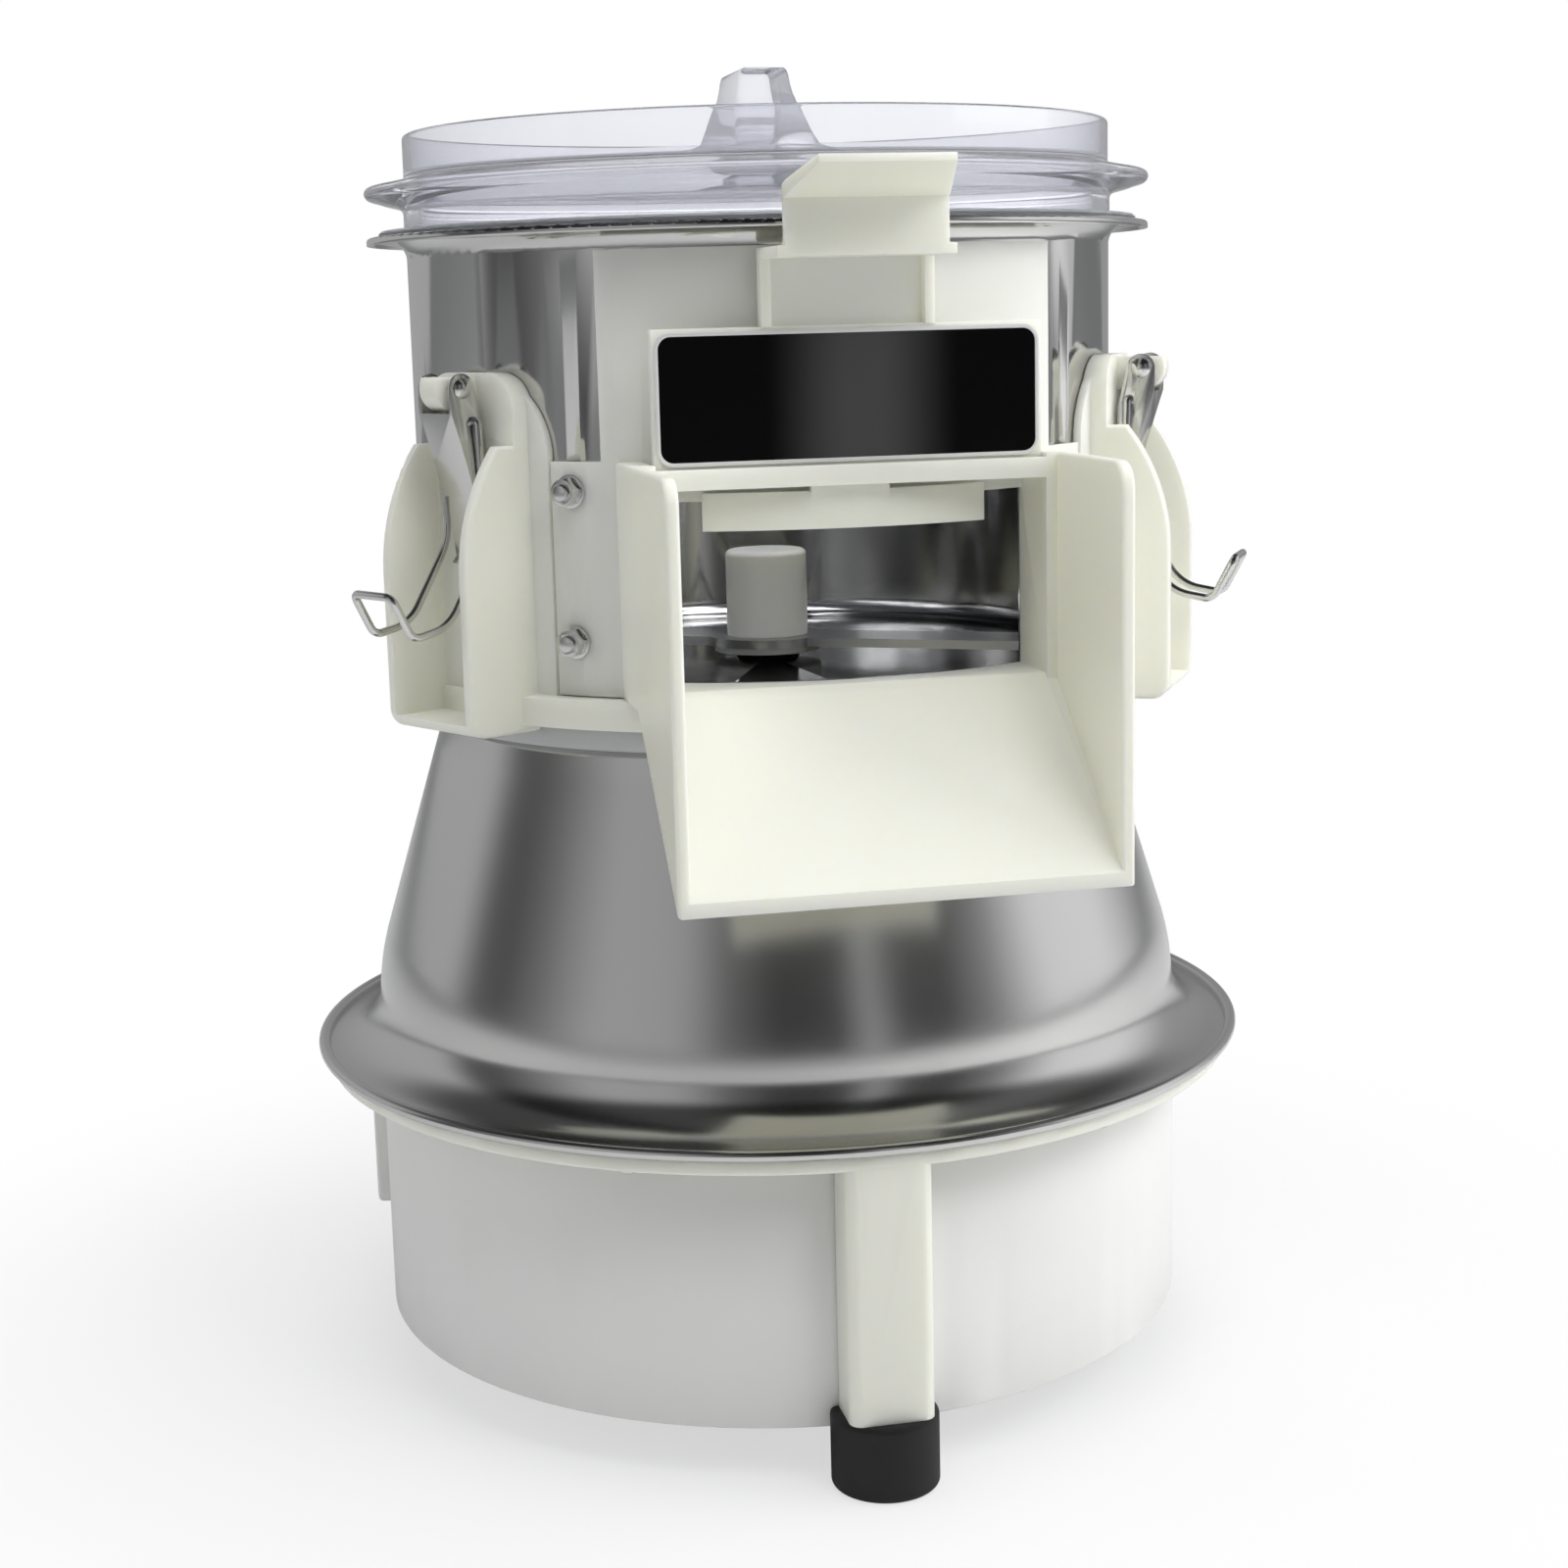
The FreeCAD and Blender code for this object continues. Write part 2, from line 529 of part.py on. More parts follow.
# Base frame: round flange and three legs in one moulding, pegs down into the rubber feet.
def make_base_frame():
    body = ring_part("base_frame", [
        ("flange_bore", "flange_bottom"),
        ("flange_radius - 1", "flange_bottom", "1.5"),
        ("flange_radius", "flange_bottom + 1"),
        ("flange_radius", "flange_bottom + flange_thick - 1", "1.5"),
        ("flange_radius - 1", "flange_bottom + flange_thick"),
        ("flange_bore", "flange_bottom + flange_thick"),
    ])
    inner = "(drum_radius + seat_gap)"
    outer = "(drum_radius + seat_gap + leg_depth)"
    side = "leg_width / 2"
    for name, azimuth in LEGS.items():
        leg = plan_sketch(body, "leg_section_" + name, [
            ("-(%s)" % side, "-" + inner),
            ("-(%s)" % side, "-(%s - leg_edge)" % outer, "leg_edge"),
            ("-(%s - leg_edge)" % side, "-" + outer),
            ("%s - leg_edge" % side, "-" + outer, "leg_edge"),
            (side, "-(%s - leg_edge)" % outer),
            (side, "-" + inner),
        ], "foot_height")
        turn_sketch(leg, azimuth)
        extrude(body, "Pad", leg, "leg_" + name, "flange_bottom - foot_height + 1")
        peg = drawing(body, "peg_section_" + name, "XY_Plane", "foot_height - peg_length")
        circle(peg, "0", "-(drum_radius + seat_gap + leg_depth / 2)", "peg_radius")
        turn_sketch(peg, azimuth)
        extrude(body, "Pad", peg, "peg_" + name, "peg_length + 1")
    hole = drawing(body, "screw_hole_section", "XY_Plane", "flange_bottom - 1")
    circle(
        hole, "screw_circle * sin(30)", "-(screw_circle * cos(30))", "screw_radius + fit_gap"
    )
    hole_cut = extrude(body, "Pocket", hole, "screw_hole", "flange_thick + 2", True)
    around(body, hole_cut, "screw_holes", 6)


def make_feet():
    radius = size("foot_radius")
    height = size("foot_height")
    reach = size("foot_circle")
    edge = radius * 0.12
    foot = cylinder(radius, 0, height, 0, reach)
    rims = [rim for rim in foot.Edges if rim.Curve.TypeId == "Part::GeomCircle"]
    foot = foot.makeFillet(edge, rims)
    leg_reach = size("drum_radius + seat_gap + leg_depth / 2")
    peg_end = size("foot_height - peg_length")
    socket = cylinder(size("peg_radius + fit_gap"), peg_end, height + 1, 0, leg_reach)
    drum = cylinder(size("drum_radius + seat_gap"), size("drum_bottom - seat_gap"), height + 1)
    foot = foot.cut(socket).cut(drum)
    for name, azimuth in LEGS.items():
        item = solid_part("foot_" + name, foot.copy())
        turn(item, azimuth)


def make_drum():
    ring_part("skirt_drum", [
        ("drum_radius - drum_wall", "drum_bottom"),
        ("drum_radius - 0.6", "drum_bottom", "0.8"),
        ("drum_radius", "drum_bottom + 0.6"),
        ("drum_radius", "flange_bottom"),
        ("drum_radius - drum_wall", "flange_bottom"),
        ("drum_radius - drum_wall", "drum_bottom + cover_recess + cover_thick + 3"),
        ("drum_radius - drum_wall - ledge_width", "drum_bottom + cover_recess + cover_thick + 3"),
        ("drum_radius - drum_wall - ledge_width", "drum_bottom + cover_recess + cover_thick"),
        ("drum_radius - drum_wall", "drum_bottom + cover_recess + cover_thick"),
    ])
    body = NODES[-1]
    cut_front(body, "switch_window", [
        ("-(switch_half - 2)", "switch_bottom + 2"),
        ("switch_half - 2", "switch_bottom + 2"),
        ("switch_half - 2", "switch_top - 2"),
        ("-(switch_half - 2)", "switch_top - 2"),
    ], "drum_radius + 5")
    drill(
        body, "inlet_hole", "gland_angle - switch_angle", "gland_height",
        "gland_neck + fit_gap", "drum_radius + 5"
    )
    # The opening faces -Y here; the drum is turned so that it meets the switch pod.
    turn(body, "switch_angle")


def make_bottom_cover():
    body = ring_part("bottom_cover", [
        ("0", "drum_bottom + cover_recess"),
        ("drum_radius - drum_wall - seat_gap", "drum_bottom + cover_recess"),
        ("drum_radius - drum_wall - seat_gap", "drum_bottom + cover_recess + cover_thick"),
        ("0", "drum_bottom + cover_recess + cover_thick"),
    ])
    slot = drawing(body, "vent_section", "XY_Plane", "drum_bottom + cover_recess - 1")
    outline(slot, [
        ("-(vent_width / 2)", "-(vent_circle + vent_length / 2)", "vent_width / 2 + 0.001"),
        ("vent_width / 2", "-(vent_circle + vent_length / 2)"),
        ("vent_width / 2", "-(vent_circle - vent_length / 2)", "vent_width / 2 + 0.001"),
        ("-(vent_width / 2)", "-(vent_circle - vent_length / 2)"),
    ])
    cut = extrude(body, "Pocket", slot, "vent", "cover_thick + 2", True)
    around(body, cut, "vents", 18)


def make_flange_screws():
    reach = size("screw_circle")
    under = size("flange_bottom")
    head = size("screw_head_height")
    shank = cylinder(size("screw_radius"), under, under + size("flange_thick") + 1.5, 0, reach)
    cap = cylinder(size("screw_head_radius"), under - head, under, 0, reach)
    cap = cap.makeFillet(head * 0.45, [cap.Edges[2]])
    slot = Part.makeBox(10, 0.9, 0.9, FreeCAD.Vector(-5, -reach - 0.45, under - head))
    screw = cap.fuse(shank).cut(slot).removeSplitter()
    screws = Part.makeCompound([spun(screw, 30 + 60 * step) for step in range(6)])
    solid_part("flange_screws", screws)


# Dome: a spun stainless bowl standing on its rolled rim.
def make_dome():
    reach = "(dome_rim_radius - bead_radius)"
    height = "(flange_bottom + flange_thick + bead_radius + seat_gap)"
    ring_part("dome", [
        ("bearing_radius + fit_gap", "dome_top_height - sheet_wall"),
        ("dome_top_radius - 4", "dome_top_height - sheet_wall", "-(4 - sheet_wall)"),
        ("dome_top_radius - sheet_wall", "dome_top_height - 4"),
        ("dome_mid_radius - sheet_wall", "dome_mid_height", "-(dome_turn - 1)"),
        ("dome_foot_radius - sheet_wall", "dome_foot_height", "dome_flare + sheet_wall"),
        ("%s - 0.6 * bead_radius" % reach, "%s - 0.8 * bead_radius" % height, "bead_radius"),
        ("%s + bead_radius" % reach, height, "bead_radius"),
        (reach, "%s + bead_radius" % height, "bead_radius"),
        ("%s - 0.98 * bead_radius" % reach, "%s - 0.2 * bead_radius" % height, "-(dome_flare)"),
        ("dome_foot_radius", "dome_foot_height", "dome_turn"),
        ("dome_mid_radius", "dome_mid_height"),
        ("dome_top_radius", "dome_top_height - 4", "4"),
        ("dome_top_radius - 4", "dome_top_height"),
        ("bearing_radius + fit_gap", "dome_top_height"),
    ])


# Drive: motor under the dome, coupling, shaft, bearing and seal up to the rotor hub.
def make_drive():
    deck = "(flange_bottom + flange_thick)"
    plate = ring_part("motor_plate", [
        ("motor_radius - 6", deck),
        ("motor_plate_radius", deck),
        ("motor_plate_radius", deck + " + motor_plate_thick"),
        ("motor_radius - 6", deck + " + motor_plate_thick"),
    ])
    hole = drawing(plate, "motor_bolt_hole", "XY_Plane", deck + " - 1")
    circle(hole, "0", "-(motor_bolt_circle)", "screw_radius + fit_gap")
    cut = extrude(plate, "Pocket", hole, "bolt_hole", "motor_plate_thick + 2", True)
    around(plate, cut, "bolt_holes", 4)

    low = "(%s + motor_plate_thick)" % deck
    high = "(%s + motor_height)" % low
    motor = ring_part("motor", [
        ("0", low),
        ("motor_bolt_circle + 6", low),
        ("motor_bolt_circle + 6", low + " + 4"),
        ("motor_radius", low + " + 4"),
        ("motor_radius", high + " - 10", "10"),
        ("motor_radius - 10", high),
        ("shaft_radius + 8", high),
        ("shaft_radius + 8", high + " + 3"),
        ("0", high + " + 3"),
    ])
    rib = drawing(motor, "motor_rib_section", "XY_Plane", low + " + 8")
    outline(rib, [
        ("-(1.2)", "-(motor_radius - 1)"), ("-(1.2)", "-(motor_radius + 3)"),
        ("1.2", "-(motor_radius + 3)"), ("1.2", "-(motor_radius - 1)"),
    ])
    rib_pad = extrude(motor, "Pad", rib, "motor_rib", "motor_height - 22")
    around(motor, rib_pad, "motor_ribs", 20)
    bolt_hole = drawing(motor, "motor_foot_hole", "XY_Plane", low + " - 1")
    circle(bolt_hole, "0", "-(motor_bolt_circle)", "screw_radius + fit_gap")
    foot_cut = extrude(motor, "Pocket", bolt_hole, "foot_hole", "6", True)
    around(motor, foot_cut, "foot_holes", 4)

    under = size(deck)
    reach = size("motor_bolt_circle")
    shank = cylinder(size("screw_radius"), under - 2.4, under + 10, 0, reach)
    head = cylinder(size("screw_head_radius"), under - 5, under - 0.02, 0, reach)
    nut = cylinder(size("screw_head_radius"), size(low) + 4.02, size(low) + 7, 0, reach)
    bolt = head.fuse(shank).fuse(nut).removeSplitter()
    solid_part("motor_bolts", Part.makeCompound([spun(bolt, 90 * step) for step in range(4)]))

    capacitor = ring_part("capacitor", [
        ("0", low),
        ("capacitor_radius", low),
        ("capacitor_radius", low + " + capacitor_height - 2", "2"),
        ("capacitor_radius - 2", low + " + capacitor_height"),
        ("0", low + " + capacitor_height"),
    ])
    capacitor.Placement.Base = FreeCAD.Vector(0, 92, 0)
    bind(capacitor, "Placement.Base.y", "motor_radius + capacitor_radius + capacitor_gap")

    coupling_low = "(%s + 3.3)" % high
    coupling = ring_part("shaft_coupling", [
        ("0", coupling_low),
        ("coupling_radius", coupling_low),
        ("coupling_radius", coupling_low + " + coupling_height"),
        ("shaft_radius", coupling_low + " + coupling_height"),
        ("shaft_radius", coupling_low + " + 4"),
        ("0", coupling_low + " + 4"),
    ])
    grub = drawing(coupling, "grub_section", "XZ_Plane")
    circle(grub, "0", coupling_low + " + coupling_height - 6", "2")
    drilled = feature(coupling, "Pocket", grub, "grub_hole")
    drilled.Reversed = True
    bind(drilled, "Length", "coupling_radius + 2")

    ring_part("drive_shaft", [
        ("0", coupling_low + " + 4"),
        ("shaft_radius", coupling_low + " + 4"),
        ("shaft_radius", "hub_top - 6"),
        ("shaft_radius - 1.5", "hub_top - 4"),
        ("0", "hub_top - 4"),
    ])
    bearing_low = "(dome_top_height - bearing_height + 6)"
    ring_part("shaft_bearing", [
        ("shaft_radius + fit_gap", bearing_low),
        ("bearing_radius - 3", bearing_low),
        ("bearing_radius", bearing_low + " + 3"),
        ("bearing_radius", "dome_top_height"),
        ("bearing_radius + 9", "dome_top_height"),
        ("bearing_radius + 9", "dome_top_height + 3"),
        ("bearing_radius - 4", "dome_top_height + 3"),
        ("bearing_radius - 4", bearing_low + " + bearing_height"),
        ("shaft_radius + fit_gap", bearing_low + " + bearing_height"),
    ])
    seal_low = "(pot_floor - 1.6)"
    ring_part("shaft_seal", [
        ("shaft_radius + fit_gap", seal_low),
        ("seal_radius", seal_low),
        ("seal_radius", "pot_floor"),
        ("seal_radius - 2", "pot_floor"),
        ("seal_radius - 2", "pot_floor + sheet_wall"),
        ("seal_radius", "pot_floor + sheet_wall"),
        ("seal_radius - 1", "pot_floor + sheet_wall + 1.6"),
        ("shaft_radius + fit_gap", "pot_floor + sheet_wall + 1.6"),
    ])


# Pot: a straight steel pot with a flat rim, cut open where the outlet sits.
def make_pot():
    body = ring_part("pot", [
        ("seal_radius - 2", "pot_floor"),
        ("pot_radius - pot_corner", "pot_floor", "pot_corner"),
        ("pot_radius", "pot_floor + pot_corner"),
        ("pot_radius", "pot_rim_top - sheet_wall - pot_rim_blend", "-(pot_rim_blend)"),
        ("pot_radius + pot_rim_blend", "pot_rim_top - sheet_wall"),
        ("pot_rim_radius - 1.2", "pot_rim_top - sheet_wall"),
        ("pot_rim_radius - 1.2", "pot_rim_top - sheet_wall - 1.2"),
        ("pot_rim_radius", "pot_rim_top - sheet_wall - 1.2"),
        ("pot_rim_radius", "pot_rim_top - 1.2", "1.2"),
        ("pot_rim_radius - 1.2", "pot_rim_top"),
        ("pot_radius + pot_rim_blend", "pot_rim_top", "pot_rim_blend + sheet_wall"),
        ("pot_radius - sheet_wall", "pot_rim_top - sheet_wall - pot_rim_blend"),
        ("pot_radius - sheet_wall", "pot_floor + pot_corner", "-(pot_corner - sheet_wall)"),
        ("pot_radius - pot_corner", "pot_floor + sheet_wall"),
        ("seal_radius - 2", "pot_floor + sheet_wall"),
    ])
    cut_front(body, "outlet_mouth", [
        ("-(opening_half)", "opening_bottom"), ("opening_half", "opening_bottom"),
        ("opening_half", "opening_top"), ("-(opening_half)", "opening_top"),
    ], "pot_radius + 10")
    drill_outlet(body, "bolt_hole")


def make_neck_ring():
    ring_part("neck_ring", [
        ("neck_radius - neck_wall", "dome_top_height"),
        ("neck_radius - 1", "dome_top_height"),
        ("neck_radius", "dome_top_height + 1"),
        ("neck_radius", "dome_top_height + neck_height"),
        ("neck_radius - neck_wall", "dome_top_height + neck_height"),
    ])


# Clamp ring: a flat ring under the pot that grows three latch towers.
def tower_shape():
    reach = size("fin_reach")
    bottom = size("tower_bottom")
    half = size("tower_half")
    thick = size("fin_thick")
    inner = size("pot_radius + seat_gap")
    back = size("pot_radius + seat_gap + tower_back")
    toe = size("tower_toe")

    def wall_point(out, up, across=0.0):
        return FreeCAD.Vector(across, -out, up)

    def curve(start, end, radius):
        flat_start = FreeCAD.Vector(start[0], start[1], 0)
        flat_end = FreeCAD.Vector(end[0], end[1], 0)
        arc, forward = arc_between(flat_start, flat_end, radius)
        middle = arc.value((arc.FirstParameter + arc.LastParameter) / 2)
        return Part.Arc(
            wall_point(*start), wall_point(middle.x, middle.y), wall_point(*end)
        ).toShape()

    def line(start, end):
        return Part.makeLine(wall_point(*start), wall_point(*end))

    top = (size("fin_top_reach"), size("fin_top"))
    shoulder = (reach, size("fin_shoulder"))
    toe_up = (reach, bottom + toe)
    toe_in = (reach - toe, bottom)
    root_low = (inner, bottom)
    root_high = (inner, size("fin_top"))
    side = Part.Wire([
        line(root_low, toe_in),
        curve(toe_in, toe_up, toe),
        line(toe_up, shoulder),
        curve(shoulder, top, size("fin_bow")),
        line(top, root_high),
        line(root_high, root_low),
    ])
    profile = Part.Face(side)
    block = profile.extrude(FreeCAD.Vector(2 * half, 0, 0))
    block.translate(FreeCAD.Vector(-half, 0, 0))
    channel_floor = bottom + size("tower_floor")
    channel = Part.makeBox(
        2 * (half - thick), reach + 10 - back, size("tower_top") - channel_floor,
        FreeCAD.Vector(-(half - thick), -(reach + 10), channel_floor)
    )
    fins = block.cut(channel)
    edges = [
        edge for edge in fins.Edges
        if abs(abs(edge.BoundBox.XMin) - half) < 1e-6 and edge.BoundBox.YMin < -back - 1
        and edge.BoundBox.XLength < 1e-6
    ]
    fins = fins.makeFillet(thick * 0.35, edges)

    def plate(plate_half, thickness, low, high, corner):
        outer = Part.makeCylinder(inner + thickness, high - low, FreeCAD.Vector(0, 0, low))
        core = Part.makeCylinder(inner, high - low, FreeCAD.Vector(0, 0, low))
        box = Part.makeBox(
            2 * plate_half, inner + thickness + 5, high - low,
            FreeCAD.Vector(-plate_half, -(inner + thickness + 5), low)
        )
        corners = [
            edge for edge in box.Edges
            if edge.BoundBox.ZMin > high - 1e-6 and edge.BoundBox.XLength < 1e-6
        ]
        box = box.makeFillet(corner, corners)
        front = Part.makeBox(
            2 * plate_half, inner + thickness, high - low,
            FreeCAD.Vector(-plate_half, -(inner + thickness), low)
        )
        return outer.cut(core).common(box).common(front)

    base = size("ring_bottom")
    wide = half
    flat_back = Part.makeBox(
        2 * wide, back - inner * 0.95, size("tower_top") - base,
        FreeCAD.Vector(-wide, -back, base)
    )
    upper = [
        edge for edge in flat_back.Edges
        if edge.BoundBox.ZMin > size("tower_top") - 1e-6 and edge.BoundBox.XLength < 1e-6
    ]
    flat_back = flat_back.makeFillet(size("tower_round"), upper)
    shoulder_plate = plate(
        size("shoulder_half"), size("shoulder_thick"), base, size("shoulder_top"),
        size("shoulder_round")
    )
    pin = (size("pin_reach"), size("pin_height"))
    ear_half = size("ear_half")
    ear_round = size("ear_round")
    ear_end = Part.makeCylinder(
        ear_round, 2 * ear_half, FreeCAD.Vector(-ear_half, -pin[0], pin[1]),
        FreeCAD.Vector(1, 0, 0)
    )
    ear_root = Part.makeBox(
        2 * ear_half, pin[0] - inner, 2 * ear_round,
        FreeCAD.Vector(-ear_half, -pin[0], pin[1] - ear_round)
    )
    above = Part.makeBox(
        2 * ear_half, pin[0], ear_round,
        FreeCAD.Vector(-ear_half, -pin[0] - ear_round, size("ear_top"))
    )
    ear = ear_end.fuse(ear_root).cut(above)
    hole = Part.makeCylinder(
        size("pin_radius + 0.02"), 2 * half, FreeCAD.Vector(-half, -pin[0], pin[1]),
        FreeCAD.Vector(1, 0, 0)
    )
    tower = fins.fuse([flat_back, shoulder_plate, ear]).cut(hole)
    pot_space = Part.makeCylinder(inner, size("tower_top") + 20)
    return tower.cut(pot_space).removeSplitter()


def make_clamp_ring():
    inner = size("pot_radius + seat_gap")
    low = size("ring_bottom")
    high = size("ring_top")
    floor = size("pot_floor")
    deck = size("dome_top_height + neck_height")
    neck = size("neck_radius + seat_gap")
    outer = size("ring_radius")
    ledge = size("ring_ledge")
    corners = [
        (ledge, deck), (neck, deck), (neck, low), (outer, low),
        (outer, high), (inner, high), (inner, floor), (ledge, floor), (ledge, deck),
    ]
    wire = Part.makePolygon([FreeCAD.Vector(out, 0, up) for out, up in corners])
    ring = Part.Face(wire).revolve(FreeCAD.Vector(0, 0, 0), FreeCAD.Vector(0, 0, 1), 360)
    tower = tower_shape()
    under = size("tower_bottom - neck_height")
    neck_space = Part.makeCylinder(neck, deck - under, FreeCAD.Vector(0, 0, under))
    spread = size("latch_spread")
    towers = [spun(tower.cut(neck_space), azimuth) for azimuth in (-spread, spread, 180)]
    solid_part("clamp_ring", ring.fuse(towers).removeSplitter())


LATCHES = {"left": "-latch_spread", "right": "latch_spread", "rear": "180"}


def make_latch_pin(side, azimuth):
    radius = size("pin_radius")
    head_radius = size("pin_head_radius")
    head_height = size("pin_head_height")
    reach = size("lever_half + 0.15")
    centre = FreeCAD.Vector(-reach, -size("pin_reach"), size("pin_height"))
    rod = Part.makeCylinder(radius, 2 * reach, centre, FreeCAD.Vector(1, 0, 0))
    ball = (head_radius ** 2 + head_height ** 2) / (2 * head_height)
    heads = []
    for sign in (-1, 1):
        seat = FreeCAD.Vector(sign * reach, centre.y, centre.z)
        dome = Part.makeSphere(ball, seat - FreeCAD.Vector(sign * (ball - head_height), 0, 0))
        slab = Part.makeCylinder(
            head_radius + 1, head_height + 1, seat, FreeCAD.Vector(sign, 0, 0)
        )
        heads.append(dome.common(slab))
    item = solid_part("latch_pin_" + side, rod.fuse(heads).removeSplitter())
    turn(item, azimuth)


def make_lever(side, azimuth):
    # A pressed U-channel: the side section is padded over the full width, then hollowed.
    name = "latch_lever_" + side
    body = sub_part(name)
    shell = side_sketch(body, name + "_side", [
        ("pin_reach - cheek_round", "pin_height", "cheek_round + 0.001"),
        ("pin_reach + cheek_round", "pin_height"),
        ("lever_head_reach", "lever_head_height"),
        ("lever_mid_reach", "lever_mid_height"),
        ("lever_waist_reach", "lever_waist_height"),
        ("cheek_reach", "lever_waist_height"),
        ("cheek_reach", "bail_height - 3"),
    ])
    centred(feature(body, "Pad", shell, name + "_shell"), "2 * lever_half")
    hollow = side_sketch(body, name + "_inside", [
        ("pin_reach - cheek_round - 1", "pin_height + cheek_round + 1"),
        ("pin_reach + cheek_round + 2", "pin_height + cheek_round + 1"),
        ("pin_reach + cheek_round + 2", "lever_head_height"),
        ("lever_head_reach - lever_wall", "lever_head_height"),
        ("lever_mid_reach - lever_wall", "lever_mid_height"),
        ("lever_waist_reach - lever_wall", "lever_waist_height - 1"),
        ("cheek_reach - 2", "lever_waist_height - 1"),
        ("cheek_reach - 2", "pin_height"),
    ])
    centred(feature(body, "Pocket", hollow, name + "_hollow"), "2 * (lever_half - lever_wall)")
    tongue = side_sketch(body, name + "_tongue_side", [
        ("lever_waist_reach + 0.4", "lever_waist_height + 2"),
        ("lever_waist_reach", "lever_waist_height"),
        ("lever_tip_reach", "lever_tip_height + 2"),
        ("lever_tip_reach + 1.6", "lever_tip_height"),
        ("lever_tip_reach + 0.6", "lever_tip_height - 0.4"),
        ("lever_tip_reach - lever_wall", "lever_tip_height + 1.6"),
        ("lever_waist_reach - lever_wall", "lever_waist_height"),
        ("lever_waist_reach + 0.4 - lever_wall", "lever_waist_height + 2"),
    ])
    centred(feature(body, "Pad", tongue, name + "_tongue"), "2 * tongue_half")
    for hole, reach, height, radius in (
        ("pin_hole", "pin_reach", "pin_height", "pin_radius + fit_gap"),
        ("bail_hole", "bail_reach", "bail_height", "wire_radius + fit_gap"),
    ):
        sketch = drawing(body, name + "_" + hole, "YZ_Plane")
        circle(sketch, "-(%s)" % reach, height, radius)
        centred(feature(body, "Pocket", sketch, name + "_" + hole + "_cut"), "4 * lever_half")
    turn(body, azimuth)


def rounded_path(points, radii):
    # Straight runs joined by tangent arcs; one radius for each inner point.
    edges = []
    start = points[0]
    for index, radius in enumerate(radii, start=1):
        corner = points[index]
        back = (points[index - 1] - corner).normalize()
        ahead = (points[index + 1] - corner).normalize()
        opening = back.getAngle(ahead)
        trim = radius / math.tan(opening / 2)
        entry = corner + back * trim
        leave = corner + ahead * trim
        bisector = (back + ahead).normalize()
        centre = corner + bisector * (radius / math.sin(opening / 2))
        middle = centre - bisector * radius
        edges.append(Part.makeLine(start, entry))
        edges.append(Part.Arc(entry, middle, leave).toShape())
        start = leave
    edges.append(Part.makeLine(start, points[-1]))
    return Part.Wire(edges)


def make_bail(side, azimuth):
    # Bent wire: stubs in the lever's cheeks, two legs, a bowed reach and an upturned hook.
    reach = size("bail_reach")
    height = size("bail_height")
    half = size("bail_half")
    wire = size("wire_radius")
    stub = size("lever_half - lever_wall - 0.4")
    leg = [
        (reach, height),
        (reach - size("bail_knee_in"), height - size("bail_knee_drop")),
        (reach + size("bail_bow_out"), height - size("bail_bow_drop")),
        (reach + size("bail_hook_out"), height - size("bail_hook_drop")),
        (reach + size("bail_tip_out"), height - size("bail_tip_drop")),
    ]
    points = [FreeCAD.Vector(-stub, -reach, height)]
    points += [FreeCAD.Vector(-half, -out, up) for out, up in leg]
    points += [FreeCAD.Vector(half, -out, up) for out, up in reversed(leg)]
    points += [FreeCAD.Vector(stub, -reach, height)]
    bend = size("bail_bend")
    corner = size("bail_corner")
    first = wire * 1.15
    radii = [first, bend * 5, bend * 3.5, bend, corner]
    path = rounded_path(points, radii + radii[::-1])
    section = Part.Wire([
        Part.Circle(points[0], FreeCAD.Vector(1, 0, 0), wire).toShape()
    ])
    item = solid_part("latch_bail_" + side, path.makePipeShell([section], True, False))
    turn(item, azimuth)


